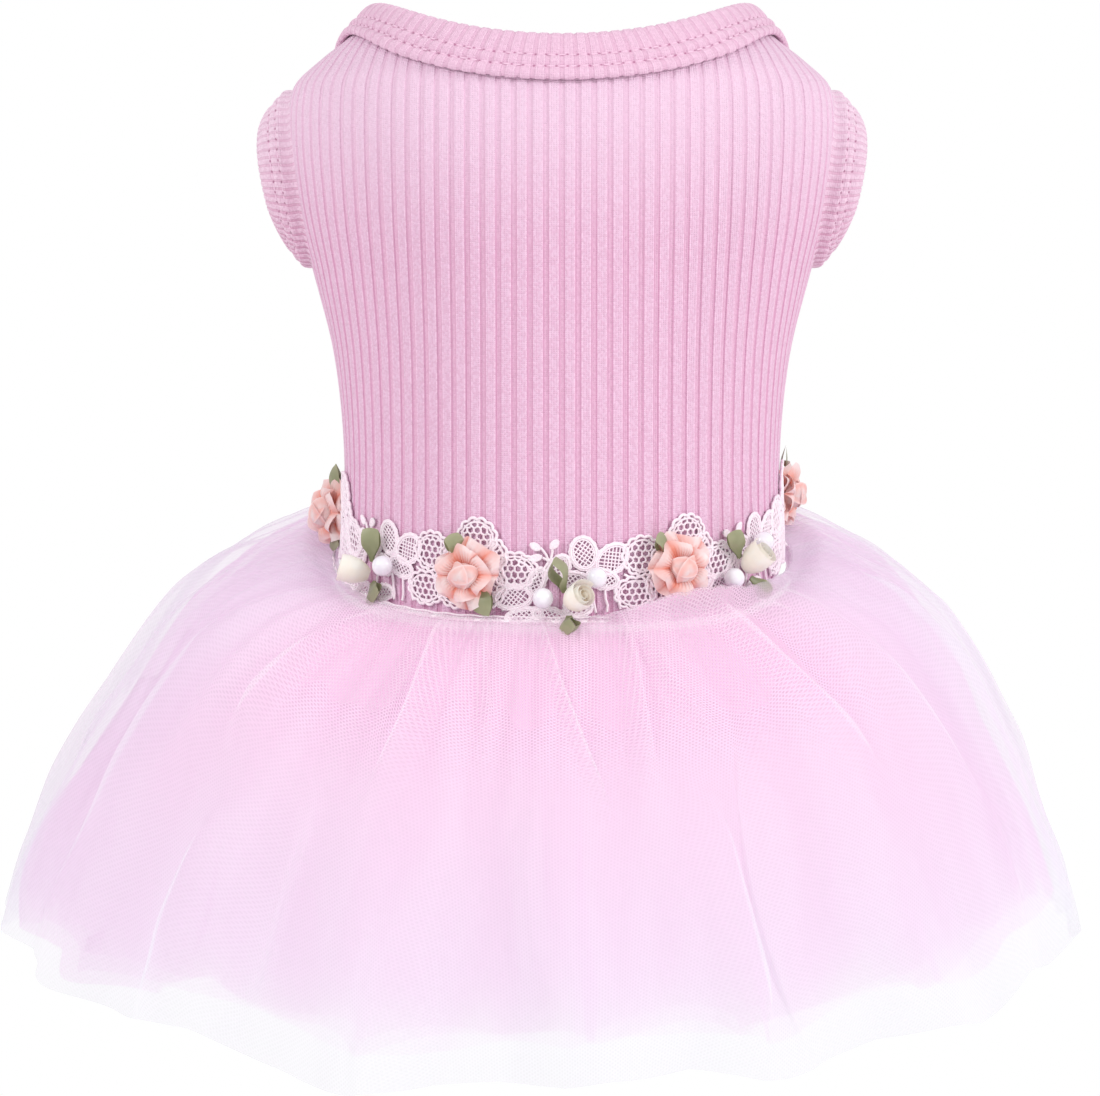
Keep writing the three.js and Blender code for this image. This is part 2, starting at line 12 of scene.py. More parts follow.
import bmesh
import bpy
import numpy as np
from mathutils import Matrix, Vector


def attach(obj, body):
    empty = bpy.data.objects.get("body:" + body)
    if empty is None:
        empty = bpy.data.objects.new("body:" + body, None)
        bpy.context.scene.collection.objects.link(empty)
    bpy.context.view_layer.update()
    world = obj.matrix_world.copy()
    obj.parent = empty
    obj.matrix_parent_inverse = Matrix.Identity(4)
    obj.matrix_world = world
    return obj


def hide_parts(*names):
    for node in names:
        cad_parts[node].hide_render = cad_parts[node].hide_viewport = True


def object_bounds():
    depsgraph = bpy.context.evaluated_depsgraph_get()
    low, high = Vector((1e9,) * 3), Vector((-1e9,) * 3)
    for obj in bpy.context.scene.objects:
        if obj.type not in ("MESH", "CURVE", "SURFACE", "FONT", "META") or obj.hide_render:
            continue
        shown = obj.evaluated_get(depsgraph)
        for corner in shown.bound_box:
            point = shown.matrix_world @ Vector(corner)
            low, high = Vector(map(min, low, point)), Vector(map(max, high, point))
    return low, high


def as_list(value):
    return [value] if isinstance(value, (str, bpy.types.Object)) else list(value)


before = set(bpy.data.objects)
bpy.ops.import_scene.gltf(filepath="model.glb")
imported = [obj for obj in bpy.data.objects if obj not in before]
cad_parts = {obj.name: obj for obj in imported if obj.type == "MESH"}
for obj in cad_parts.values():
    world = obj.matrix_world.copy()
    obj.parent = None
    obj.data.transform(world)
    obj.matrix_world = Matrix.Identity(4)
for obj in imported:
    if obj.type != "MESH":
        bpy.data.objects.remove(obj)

MM = 0.001
cad_box = [list(corner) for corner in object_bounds()]
print("CAD box", [[round(v, 4) for v in corner] for corner in cad_box])

# %% [markdown]
# ## Camera, light and floor
# A product photograph like this one is taken level and from far away, so the lens is long and there
# is almost no perspective. It could be an orthographic camera too, but a real lens keeps the near hem
# a touch larger than the far one.

# %% Camera
PHOTO_WIDTH, PHOTO_HEIGHT = 1100, 1096
PIXELS_PER_MM = 4.0
ORIGIN_PIXEL = (562, 35)
CAMERA_DISTANCE = 5000.0
SENSOR = 36.0


def add_object(name, data):
    """Puts a camera, a lamp or a mesh into the scene."""
    thing = bpy.data.objects.new(name, data)
    bpy.context.collection.objects.link(thing)
    return thing


def add_camera():
    data = bpy.data.cameras.new("camera")
    data.sensor_fit = "HORIZONTAL"
    data.sensor_width = SENSOR
    data.lens = SENSOR * CAMERA_DISTANCE * PIXELS_PER_MM / PHOTO_WIDTH
    data.clip_end = 100.0
    camera = add_object("camera", data)
    across = (PHOTO_WIDTH / 2 - ORIGIN_PIXEL[0]) / PIXELS_PER_MM
    height = (ORIGIN_PIXEL[1] - PHOTO_HEIGHT / 2) / PIXELS_PER_MM
    camera.location = Vector((across, -CAMERA_DISTANCE, height)) * MM
    camera.rotation_euler = (math.radians(90), 0, 0)
    bpy.context.scene.camera = camera


add_camera()

# %% Light and floor
FLOOR_BELOW = 60.0
FLOOR_RADIUS, FLOOR_SIDES = 1100.0, 96
PAPER_SHADE, PAPER_ROUGHNESS = 0.9, 0.9
STUDIO_LIGHT = 0.79
LIGHT_AIM = (0, 0, -0.13)  # metres
LIGHTS = [  # name, place in metres, size in metres, watts
    ("key_light", (-2.1, -1.6, 1.2), 0.9, 23.5),
    ("right_light", (2.0, -1.2, 0.8), 0.9, 24),
]


def soft_light(name, place, size, watts):
    data = bpy.data.lights.new(name, "AREA")
    data.shape = "DISK"
    data.size = size
    data.energy = watts
    lamp = add_object(name, data)
    lamp.location = place
    aim = Vector(LIGHT_AIM) - Vector(place)
    lamp.rotation_euler = aim.to_track_quat("-Z", "Y").to_euler()


def add_stage():
    world = bpy.data.worlds.new("studio")
    bpy.context.scene.world = world
    world.use_nodes = True
    background = world.node_tree.nodes["Background"]
    background.inputs["Color"].default_value = (1, 1, 1, 1)
    rays = world.node_tree.nodes.new("ShaderNodeLightPath")
    strength = world.node_tree.nodes.new("ShaderNodeMapRange")
    strength.inputs["To Min"].default_value = STUDIO_LIGHT
    strength.inputs["To Max"].default_value = 1.0
    world.node_tree.links.new(rays.outputs["Is Camera Ray"], strength.inputs["Value"])
    world.node_tree.links.new(strength.outputs["Result"], background.inputs["Strength"])
    for light in LIGHTS:
        soft_light(*light)

    turns = np.linspace(0, 2 * np.pi, FLOOR_SIDES + 1)[:-1]
    rim = np.stack([np.cos(turns), np.sin(turns), 0 * turns], 1) * FLOOR_RADIUS * MM
    rim[:, 2] = cad_box[0][2] - FLOOR_BELOW * MM
    mesh = bpy.data.meshes.new("floor")
    mesh.from_pydata(rim.tolist(), [], [list(range(len(rim)))])
    floor = add_object("floor", mesh)
    paper = bpy.data.materials.new("white_paper")
    paper.use_nodes = True
    shader = paper.node_tree.nodes["Principled BSDF"]
    shader.inputs["Base Color"].default_value = (PAPER_SHADE, PAPER_SHADE, PAPER_SHADE, 1)
    shader.inputs["Roughness"].default_value = PAPER_ROUGHNESS
    mesh.materials.append(paper)
    bpy.context.scene.view_settings.view_transform = "Standard"
    bpy.context.scene.cycles.transparent_max_bounces = 12
    bpy.context.scene.cycles.diffuse_bounces = 3


add_stage()

# %% [markdown]
# ## The shape of the body
# The bodice is a stack of ellipses, as in the CAD. The same table and curve are used here, so
# that every point of cloth lies where its solid is. Everything else hangs on two functions: a point on
# the body at an angle and height, and the outward direction there.

# %% Body surface
BODY_SECTIONS = [  # height, half width, half depth, middle y
    (14, 42, 33.5, -1),
    (8, 46.5, 36, -1),
    (0, 52.5, 38.8, -1),
    (-6, 60, 41, -1),
    (-13, 67, 43.8, -1),
    (-26, 69, 48, 0.5),
    (-42, 67, 52, 3),
    (-60, 62, 54, 5),
    (-80, 57, 53, 4),
    (-104, 54.5, 51, 2),
    (-130, 54.8, 49.8, 0),
    (-156, 55.5, 49.5, -1),
]
NECK_BAND_LOW = (-10.5, 0, -24)  # heights at the back, shoulders and chest
NECK_BAND_HIGH = (1.3, 8, -12.5)
WAIST_BACK_Z, WAIST_RISE, WAIST_POWER = -146, 38, 1.35


def body_sizes(z):
    """Half width, half depth and middle y at heights z, on a smooth curve through the table."""
    table = np.array(BODY_SECTIONS, float)
    heights = table[:, 0]
    slopes = np.empty((len(table), 3))
    slopes[1:-1] = (table[2:, 1:] - table[:-2, 1:]) / (heights[2:] - heights[:-2])[:, None]
    slopes[0] = (table[1, 1:] - table[0, 1:]) / (heights[1] - heights[0])
    slopes[-1] = (table[-1, 1:] - table[-2, 1:]) / (heights[-1] - heights[-2])
    z = np.asarray(z, float)
    row = np.clip(np.searchsorted(-heights, -z) - 1, 0, len(table) - 2)
    span = heights[row + 1] - heights[row]
    u = ((z - heights[row]) / span)[..., None]
    low, high = table[row, 1:], table[row + 1, 1:]
    span = span[..., None]
    sizes = (
        (2 * u**3 - 3 * u**2 + 1) * low
        + (u**3 - 2 * u**2 + u) * span * slopes[row]
        + (3 * u**2 - 2 * u**3) * high
        + (u**3 - u**2) * span * slopes[row + 1]
    )
    return sizes[..., 0], sizes[..., 1], sizes[..., 2]


def on_body(angle, z):
    width, depth, middle = body_sizes(z)
    return np.stack(np.broadcast_arrays(width * np.sin(angle), middle - depth * np.cos(angle), z), -1)


def unit(vectors):
    return vectors / np.linalg.norm(vectors, axis=-1, keepdims=True)


def body_frame(angle, z):
    """Directions on the body: across (rising angle), up and outward."""
    across = unit(on_body(angle + 1e-3, z) - on_body(angle - 1e-3, z))
    slope = on_body(angle, z + 0.05) - on_body(angle, z - 0.05)
    out = unit(np.cross(across, slope))
    return across, np.cross(out, across), out


def off_body(angle, z, distance):
    out = body_frame(angle, z)[2]
    return on_body(angle, z) + out * np.asarray(distance)[..., None]


def neck_height(angle, levels):
    back, shoulder, chest = levels
    mean = (back + chest) / 2
    twice = (mean - shoulder) / 2
    return mean - twice + (back - chest) / 2 * np.cos(angle) + twice * np.cos(2 * angle)


def band_z(angle, share):
    low, high = neck_height(angle, NECK_BAND_LOW), neck_height(angle, NECK_BAND_HIGH)
    return low + (high - low) * share


def waist_z(angle):
    return WAIST_BACK_Z + WAIST_RISE * ((1 - np.cos(angle)) / 2) ** WAIST_POWER


def smooth(x, low, high):
    t = np.clip((x - low) / (high - low), 0, 1)
    return t * t * (3 - 2 * t)


def from_table(table, place, column=1):
    """A column of a table at places along its first column, straight between its rows."""
    table = np.array(table, float)
    return np.interp(place, table[:, 0], table[:, column])


waist_width, waist_depth = BODY_SECTIONS[-2][1:3]
print("waist girth", round(2 * math.pi * math.sqrt((waist_width**2 + waist_depth**2) / 2)), "mm")

# %% [markdown]
# ## Meshes from grids
# Nearly every piece is a grid of points bent into shape. One helper turns such a grid into an object
# with flat millimetre coordinates in a UV map, which the knit and the net are drawn in. It also leaves
# out faces that a cut edge has closed up to nothing. Another makes one object of many small grids,
# such as cords, stitches and petals, with a shade instead of flat coordinates.

# %% Mesh helpers
def vertex_grid(rows, columns, ring=False):
    """The numbers of a grid's vertices; a ring's first column comes again at its end."""
    index = np.arange(rows * columns).reshape(rows, columns)
    return np.concatenate([index, index[:, :1]], 1) if ring else index


def quads_of(index):
    """Rows of four corners from a grid of vertex numbers."""
    corners = [index[:-1, :-1], index[:-1, 1:], index[1:, 1:], index[1:, :-1]]
    return np.stack(corners, -1).reshape(-1, 4)


def quad_mesh(name, points, quads, flat):
    """A smooth mesh from points in mm and rows of four corners; flat is the UV of each corner."""
    mesh = bpy.data.meshes.new(name)
    mesh.vertices.add(len(points))
    mesh.vertices.foreach_set("co", (points * MM).ravel())
    mesh.loops.add(quads.size)
    mesh.loops.foreach_set("vertex_index", quads.ravel())
    mesh.polygons.add(len(quads))
    mesh.polygons.foreach_set("loop_start", np.arange(0, quads.size, 4))
    mesh.polygons.foreach_set("use_smooth", np.ones(len(quads), bool))
    mesh.update(calc_edges=True)
    mesh.uv_layers.new(name="flat_mm").data.foreach_set("uv", flat.ravel())
    return mesh


def grid_object(name, points, flat, ring=False):
    """An object from points[row, column, xyz] in mm, with flat[row, column, uv] as its UV map.

    Points that fell together are merged, and loose ones are dropped.
    """
    corners = quads_of(vertex_grid(*points.shape[:2], ring))
    uv_corners = quads_of(vertex_grid(*flat.shape[:2]))
    points = points.reshape(-1, 3)
    a, b, c, d = (points[corners[:, k]] for k in range(4))
    whole = np.linalg.norm(np.cross(c - a, d - b), axis=1) > 1e-3
    mesh = quad_mesh(name, points, corners[whole], flat.reshape(-1, 2)[uv_corners[whole]])
    work = bmesh.new()
    work.from_mesh(mesh)
    bmesh.ops.remove_doubles(work, verts=work.verts, dist=1e-6)
    bmesh.ops.delete(work, geom=[v for v in work.verts if not v.link_faces], context="VERTS")
    work.to_mesh(mesh)
    work.free()
    return add_object(name, mesh)


def grid_part(points, shade=0.0, ring=False):
    """A grid as a (vertices, quads, shade) part of a piece."""
    quads = quads_of(vertex_grid(*points.shape[:2], ring))
    return points.reshape(-1, 3), quads, np.ravel(np.broadcast_to(shade, points.shape[:2]))


def quads_object(name, parts):
    """One object from many parts; the shade is kept as the first flat coordinate."""
    shift, points, quads, shades = 0, [], [], []
    for part_points, part_quads, part_shade in parts:
        points.append(part_points)
        quads.append(part_quads + shift)
        shades.append(part_shade)
        shift += len(part_points)
    points, quads, shades = (np.concatenate(group) for group in (points, quads, shades))
    at_corners = shades[quads.ravel()]
    flat = np.stack([at_corners, 0 * at_corners], -1)
    return add_object(name, quad_mesh(name, points, quads, flat))


def stand_for(piece, nodes, material=None):
    """Makes a finished piece take the place of CAD nodes; a joined piece has its materials already."""
    if material:
        piece.data.materials.append(material)
    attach(piece, "root")
    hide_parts(*nodes)
    piece.data.calc_loop_triangles()
    print(piece.name, "has", len(piece.data.loop_triangles), "triangles")
    return piece


# %% [markdown]
# ## Knit material
# The knit has three scales. Ribs 4 mm apart are real geometry. The wales inside them and the rows of
# stitches are too small for that, so a node group draws them from the flat millimetre map as a bump.
# The same group tells the colour where a rib's groove, its two creases and its edges are: groove and
# creases get painted shade, a deeper pink, and the edges a painted highlight. Towards the top the knit
# is painted paler, as painted light from above. A band also has needle holes, drawn as painted shade.

# %% Node helpers
GRAIN_DEPTH, GRAIN_STRENGTH = 0.12, 0.7


def new_group(name, inputs, outputs):
    """A shader node group with its sockets; inputs and outputs are (name, kind, default)."""
    group = bpy.data.node_groups.new(name, "ShaderNodeTree")
    for label, kind, default in inputs:
        socket = group.interface.new_socket(label, in_out="INPUT", socket_type=kind)
        if default is not None:
            socket.default_value = default
    for label, kind in outputs:
        group.interface.new_socket(label, in_out="OUTPUT", socket_type=kind)
    source = group.nodes.new("NodeGroupInput")
    result = group.nodes.new("NodeGroupOutput")
    return group, source, result


def feed(tree, socket, value):
    """Gives an input a number, a colour or the output of another node."""
    if isinstance(value, (int, float, tuple)):
        socket.default_value = value
    else:
        tree.links.new(value, socket)


def group_node(tree, group, values):
    """A node group in use; values are numbers or sockets by input name."""
    node = tree.nodes.new("ShaderNodeGroup")
    node.node_tree = group
    for label, value in values.items():
        feed(tree, node.inputs[label], value)
    return node


def maths(tree, operation, *values, clamp=False):
    """A Math node; values are sockets or numbers. Returns its output."""
    node = tree.nodes.new("ShaderNodeMath")
    node.operation = operation
    node.use_clamp = clamp
    for socket, value in zip(node.inputs, values):
        feed(tree, socket, value)
    return node.outputs[0]


def remap(tree, value, from_low, from_high, to_low=0.0, to_high=1.0):
    """A smooth Map Range node."""
    node = tree.nodes.new("ShaderNodeMapRange")
    node.interpolation_type = "SMOOTHSTEP"
    for label, number in zip(
        ("From Min", "From Max", "To Min", "To Max"), (from_low, from_high, to_low, to_high)
    ):
        node.inputs[label].default_value = number
    tree.links.new(value, node.inputs["Value"])
    return node.outputs["Result"]


def blend_colours(tree, factor, first, second):
    """A Mix node for colours; first and second are sockets or colours."""
    node = tree.nodes.new("ShaderNodeMix")
    node.data_type = "RGBA"
    tree.links.new(factor, node.inputs["Factor"])
    for label, value in (("A", first), ("B", second)):
        feed(tree, [s for s in node.inputs if s.name == label and s.type == "RGBA"][0], value)
    return [s for s in node.outputs if s.type == "RGBA"][0]


def linear(red, green, blue):
    """A colour given as it looks on screen, 0 to 255, as the shader's linear colour."""
    def one(value):
        value /= 255
        return value / 12.92 if value <= 0.04045 else ((value + 0.055) / 1.055) ** 2.4
    return (one(red), one(green), one(blue), 1.0)


def flat_map(tree):
    """The two flat millimetre coordinates of the piece."""
    node = tree.nodes.new("ShaderNodeUVMap")
    node.uv_map = "flat_mm"
    split = tree.nodes.new("ShaderNodeSeparateXYZ")
    tree.links.new(node.outputs["UV"], split.inputs[0])
    return split.outputs["X"], split.outputs["Y"]


def place_in(tree):
    return tree.nodes.new("ShaderNodeTexCoord").outputs["Object"]


def noise_value(tree, place, scale, detail):
    noise = tree.nodes.new("ShaderNodeTexNoise")
    noise.inputs["Scale"].default_value = scale
    noise.inputs["Detail"].default_value = detail
    tree.links.new(place, noise.inputs["Vector"])
    return noise.outputs["Fac"]


def noise_mask(tree, place, scale, detail, low=0.35, high=0.65):
    """A noise over a place as a mask from 0 to 1."""
    return remap(tree, noise_value(tree, place, scale, detail), low, high)


def add_grain(tree, shader, height):
    """Bumps the surface by a height from 0 to 1."""
    bump = tree.nodes.new("ShaderNodeBump")
    bump.inputs["Distance"].default_value = GRAIN_DEPTH * MM
    bump.inputs["Strength"].default_value = GRAIN_STRENGTH
    tree.links.new(height, bump.inputs["Height"])
    tree.links.new(bump.outputs["Normal"], shader.inputs["Normal"])


def mix_shaders(tree, factor, first, second):
    node = tree.nodes.new("ShaderNodeMixShader")
    for socket, value in zip(node.inputs, (factor, first, second)):
        feed(tree, socket, value)
    return node.outputs["Shader"]


def light_through(tree, shader, colour, share):
    """The shader mixed with a share of light that comes through the cloth."""
    through = tree.nodes.new("ShaderNodeBsdfTranslucent")
    tree.links.new(colour, through.inputs["Color"])
    return mix_shaders(tree, share, shader.outputs["BSDF"], through.outputs["BSDF"])


def set_surface(tree, shading):
    target = [node for node in tree.nodes if node.type == "OUTPUT_MATERIAL"][0]
    tree.links.new(shading, target.inputs["Surface"])


def new_material(name, roughness, settings=()):
    """A Principled material; settings are (input, value) pairs."""
    material = bpy.data.materials.new(name)
    material.use_nodes = True
    shader = material.node_tree.nodes["Principled BSDF"]
    shader.inputs["Roughness"].default_value = roughness
    for label, value in settings:
        shader.inputs[label].default_value = value
    return material, material.node_tree, shader


# %% Knit
RIB_PITCH = 4.0
WALE_PITCH = 0.62
STITCH_PITCH = 0.55
# Where the groove and creases get painted shade and the rib's edges a painted highlight
GROOVE = (0.30, 0.35)  # shares of the pitch from the middle of a rib
CREASE = (0.295, 0.33), (0.36, 0.42)
RIB_EDGE = (0.20, 0.26), (0.27, 0.31)


def knit_group():
    """Masks for the rib's painted shade and painted highlight, and fine stitch height from flat
    coordinates.
    """
    group, source, result = new_group(
        "knit_surface",
        [("Across", "NodeSocketFloat", 0.0), ("Along", "NodeSocketFloat", 0.0)],
        [("Groove Shade", "NodeSocketFloat"), ("Crease Shade", "NodeSocketFloat"), ("Edge Highlight", "NodeSocketFloat"),
         ("Height", "NodeSocketFloat")],
    )
    across, along = source.outputs["Across"], source.outputs["Along"]
    phase = maths(group, "FRACT", maths(group, "DIVIDE", across, RIB_PITCH))
    away = maths(group, "ABSOLUTE", maths(group, "SUBTRACT", phase, 0.5))
    groove = remap(group, away, *GROOVE)
    crease, edge = (
        maths(group, "MULTIPLY", remap(group, away, *start), remap(group, away, *end, 1.0, 0.0))
        for start, end in (CREASE, RIB_EDGE)
    )
    wale = maths(group, "COSINE", maths(group, "MULTIPLY", across, 2 * math.pi / WALE_PITCH))
    lean = maths(group, "MULTIPLY", maths(group, "ABSOLUTE", wale), 0.9)
    row = maths(
        group, "COSINE",
        maths(group, "ADD", maths(group, "MULTIPLY", along, 2 * math.pi / STITCH_PITCH), lean),
    )
    height = maths(group, "ADD", maths(group, "MULTIPLY", wale, 0.6), maths(group, "MULTIPLY", row, 0.4))
    for label, value in (("Groove Shade", groove), ("Crease Shade", crease), ("Edge Highlight", edge), ("Height", height)):
        group.links.new(value, result.inputs[label])
    return group


def knit_material(name, wale, groove, crease, edge, pale, holes=None):
    """A soft cotton rib: its wale colour, painted shade in groove and crease, a painted edge highlight
    and a paler top painted as light from above; holes are the stitch rows and step of a band.
    """
    material, tree, shader = new_material(name, 0.85, [("Sheen Weight", 0.25)])
    across, along = flat_map(tree)
    knit = group_node(tree, KNIT, {"Across": across, "Along": along})
    # Painted highlight on the rib's edges, painted shade in the groove and creases
    colour = blend_colours(tree, knit.outputs["Edge Highlight"], wale, edge)
    colour = blend_colours(tree, knit.outputs["Groove Shade"], colour, groove)
    colour = blend_colours(tree, knit.outputs["Crease Shade"], colour, crease)
    place = place_in(tree)
    pebbles = noise_mask(tree, place, 1500, 1, 0.38, 0.62)
    colour = blend_colours(tree, maths(tree, "MULTIPLY", pebbles, 0.42), colour, crease)
    height = tree.nodes.new("ShaderNodeSeparateXYZ")
    tree.links.new(place, height.inputs[0])
    # Painted light: the knit is painted paler towards the top, as if lit from above
    stretched = remap(tree, height.outputs["Z"], TOP_LIGHT_FROM * MM, TOP_LIGHT_TO * MM)
    colour = blend_colours(tree, maths(tree, "MULTIPLY", stretched, 0.6), colour, pale)
    if holes:
        first, second, step = holes
        hole_shade = group_node(tree, NEEDLE_HOLES, {
            "Across": across, "Along": along, "First Row": first, "Second Row": second, "Step": step,
        })
        # Painted shade in the needle holes
        colour = blend_colours(tree, hole_shade.outputs["Hole"], colour, NEEDLE_SHADE)
    tree.links.new(colour, shader.inputs["Base Color"])
    add_grain(tree, shader, maths(tree, "ADD", knit.outputs["Height"], pebbles))
    return material


def needle_group():
    """Where the needle went in, along two rows of a band: a mask for painted shade in the holes."""
    group, source, result = new_group(
        "needle_holes",
        [("Across", "NodeSocketFloat", 0.0), ("Along", "NodeSocketFloat", 0.0),
         ("First Row", "NodeSocketFloat", 0.0), ("Second Row", "NodeSocketFloat", 0.0),
         ("Step", "NodeSocketFloat", 2.5)],
        [("Hole", "NodeSocketFloat")],
    )
    turns = maths(group, "DIVIDE", source.outputs["Across"], source.outputs["Step"])
    wave = maths(group, "COSINE", maths(group, "MULTIPLY", turns, 2 * math.pi))
    between = remap(group, wave, -0.98, -0.55, 1.0, 0.0)
    rows = None
    for label in ("First Row", "Second Row"):
        gap = maths(group, "SUBTRACT", source.outputs["Along"], source.outputs[label])
        row = remap(group, maths(group, "ABSOLUTE", gap), 0.15, 0.5, 1.0, 0.0)
        rows = row if rows is None else maths(group, "MAXIMUM", rows, row)
    group.links.new(maths(group, "MULTIPLY", between, rows), result.inputs["Hole"])
    return group


# Heights in mm over which the knit is painted paler towards the top, as painted light from above
TOP_LIGHT_FROM, TOP_LIGHT_TO = -58.0, -12.0
# Painted shade of the needle holes
NEEDLE_SHADE = linear(196, 132, 166)
KNIT = knit_group()
NEEDLE_HOLES = needle_group()
# Wale, groove, crease, edge and top colours: the wale is the knit's own colour, groove and crease are
# painted shade, the edge a painted highlight, the top painted light from above
RIB_COLOURS = (
    linear(235, 194, 220), linear(235, 186, 214), linear(219, 160, 193), linear(248, 208, 233),
    linear(243, 212, 234),
)
NECK_COLOURS = (
    linear(238, 194, 220), linear(226, 173, 202), linear(206, 148, 182), linear(252, 217, 237),
    linear(240, 199, 223),
)
ARM_COLOURS = (
    linear(252, 214, 236), linear(240, 188, 215), linear(220, 162, 193), linear(254, 222, 240),
    linear(254, 228, 246),
)
body_knit = knit_material("rib_knit", *RIB_COLOURS)

# %% [markdown]
# ## Back and chest panels
# A real rib knit keeps its ribs the same distance apart, and the panel's edges cut across them. So
# the columns of each grid lie on the ribs, at fixed distances round the body, and wherever a
# row would pass the armhole or the side seam its points stop at the seam. Stretching a fixed number of
# columns between the seams would be easier, but then the ribs would fan out at the shoulders.

# %% Panels
PANEL_TOP_SHARE = 0.45
ARMHOLE = dict(middle=98, half_width=19, middle_down=0.2935, half_down=0.1695)
SHOULDER_SEAM_NECK, SIDE_SEAM_WAIST = 92, 108
RIB_DEPTH = 0.42
RIB_COLUMNS = (0.0, 0.10, 0.16, 0.22, 0.35, 0.5, 0.65, 0.78, 0.84, 0.90)
PANEL_ROWS = 96
SEAM_SINK = 0.5
PANEL_LENGTH = 148.0
HALF_TURN_STEPS = 360


def panel_z(angle, down):
    top = band_z(angle, PANEL_TOP_SHARE)
    return top + (waist_z(angle) - top) * down


def edge_angle(down, side):
    """The panels' shared edge in degrees; side is -1 for the back panel and 1 for the chest."""
    top = ARMHOLE["middle_down"] - ARMHOLE["half_down"]
    bottom = ARMHOLE["middle_down"] + ARMHOLE["half_down"]
    middle = ARMHOLE["middle"]
    if down <= top:
        return SHOULDER_SEAM_NECK + (middle - SHOULDER_SEAM_NECK) * down / top
    if down >= bottom:
        return middle + (SIDE_SEAM_WAIST - middle) * (down - bottom) / (1 - bottom)
    across = math.sqrt(1 - ((down - ARMHOLE["middle_down"]) / ARMHOLE["half_down"]) ** 2)
    return middle + side * ARMHOLE["half_width"] * across


def rib_height(across):
    """Height of the rib's profile, 0 in the groove to 1 on the wale, at a distance in mm."""
    away = np.abs((np.asarray(across) / RIB_PITCH) % 1 - 0.5)
    return (1 - smooth(away, 0.27, 0.40)) * (1 - 0.15 * np.cos(away * 2 * np.pi))


def knit_panel(name, middle, side):
    """One knitted panel; middle is the angle of its centre line in radians."""
    down = np.linspace(0, 1, PANEL_ROWS + 1)
    angles = np.linspace(-math.pi, math.pi, 2 * HALF_TURN_STEPS + 1)
    reach, lines = [], []
    for d in down:
        line = on_body(middle + angles, panel_z(middle + angles, d))
        steps = np.linalg.norm(np.diff(line, axis=0), axis=1)
        along = np.concatenate([[0], np.cumsum(steps)])
        along -= along[HALF_TURN_STEPS]
        edge = math.radians(edge_angle(d, side))
        half = edge if side < 0 else math.pi - edge
        reach.append(np.interp(half, angles, along))
        lines.append(along)
    ribs = int(max(reach) / RIB_PITCH) + 1
    columns = np.array([(k + u) * RIB_PITCH for k in range(-ribs, ribs) for u in RIB_COLUMNS])
    points = np.empty((len(down), len(columns), 3))
    flat = np.empty((len(down), len(columns), 2))
    for j, d in enumerate(down):
        across = np.clip(columns, -reach[j], reach[j])
        angle = middle + np.interp(across, lines[j], angles)
        z = panel_z(angle, d)
        at_seam = smooth(reach[j] - np.abs(across), 0, 2.5)
        lift = RIB_DEPTH * (rib_height(across) - 1) - SEAM_SINK * (1 - at_seam)
        points[j] = off_body(angle, z, lift)
        flat[j] = np.stack([across, np.full_like(across, d * PANEL_LENGTH)], -1)
    return grid_object(name, points[::-1], flat[::-1])


back_panel = stand_for(knit_panel("back_panel_knit", 0.0, -1), ["back_panel"], body_knit)
chest_panel = stand_for(
    knit_panel("chest_panel_knit", math.pi, 1), ["chest_panel"], body_knit
)

# %% [markdown]
# ## Neck and arm bands
# A binding is a strip of the same rib, cut across so that its ribs run square to the edge, folded over
# the edge and sewn down with a coverstitch: two parallel rows of thread. The rows pull the band in,
# and the knit puffs up between them. The bands are grids too: a section with those dents is swept along
# the neckline or round the armhole, and ribs are pressed into it. The stitches are small beads of thread.

# %% Bands
NECK_RIB_PITCH, NECK_RIB_DEPTH = 3.6, 0.28
ARM_RIB_PITCH, ARM_RIB_DEPTH = 2.1, 0.22
BAND_COLUMNS_PER_RIB = 8
STITCH_STEP = 2.8
THREAD_LENGTH, THREAD_WIDTH = 1.7, 0.5


def bead_chain(centres, along, out, length, width):
    """Small oval thread beads as parts, one at each centre."""
    ring = np.linspace(0, 2 * np.pi, 7)[:-1]
    side = unit(np.cross(out, along))
    shape = [(-0.5, 0.15), (-0.3, 0.9), (0.0, 1.0), (0.3, 0.9), (0.5, 0.15)]
    rows = []
    for forth, thick in shape:
        spoke = np.cos(ring)[:, None, None] * side + np.sin(ring)[:, None, None] * out
        rows.append(centres + along * length * forth + spoke * width * 0.5 * thick)
    beads = np.stack(rows, 0).transpose(2, 0, 1, 3)  # bead, row, ring
    return [grid_part(bead, ring=True) for bead in beads]


def joined(name, pieces):
    """Joins objects into the first one; each keeps its own materials."""
    with bpy.context.temp_override(
        active_object=pieces[0], object=pieces[0], selected_editable_objects=pieces,
        selected_objects=pieces,
    ):
        bpy.ops.object.join()
    pieces[0].name = name
    return pieces[0]


def outward_of(points):
    """Normals of a closed band's grid, pointing away from its section's middle."""
    down = np.gradient(points, axis=0)
    across = np.roll(points, -1, 1) - np.roll(points, 1, 1)
    normal = unit(np.cross(down, across))
    middle = points.mean(0, keepdims=True)
    flip = np.sign(((points - middle) * normal).sum(-1).mean())
    return normal * flip


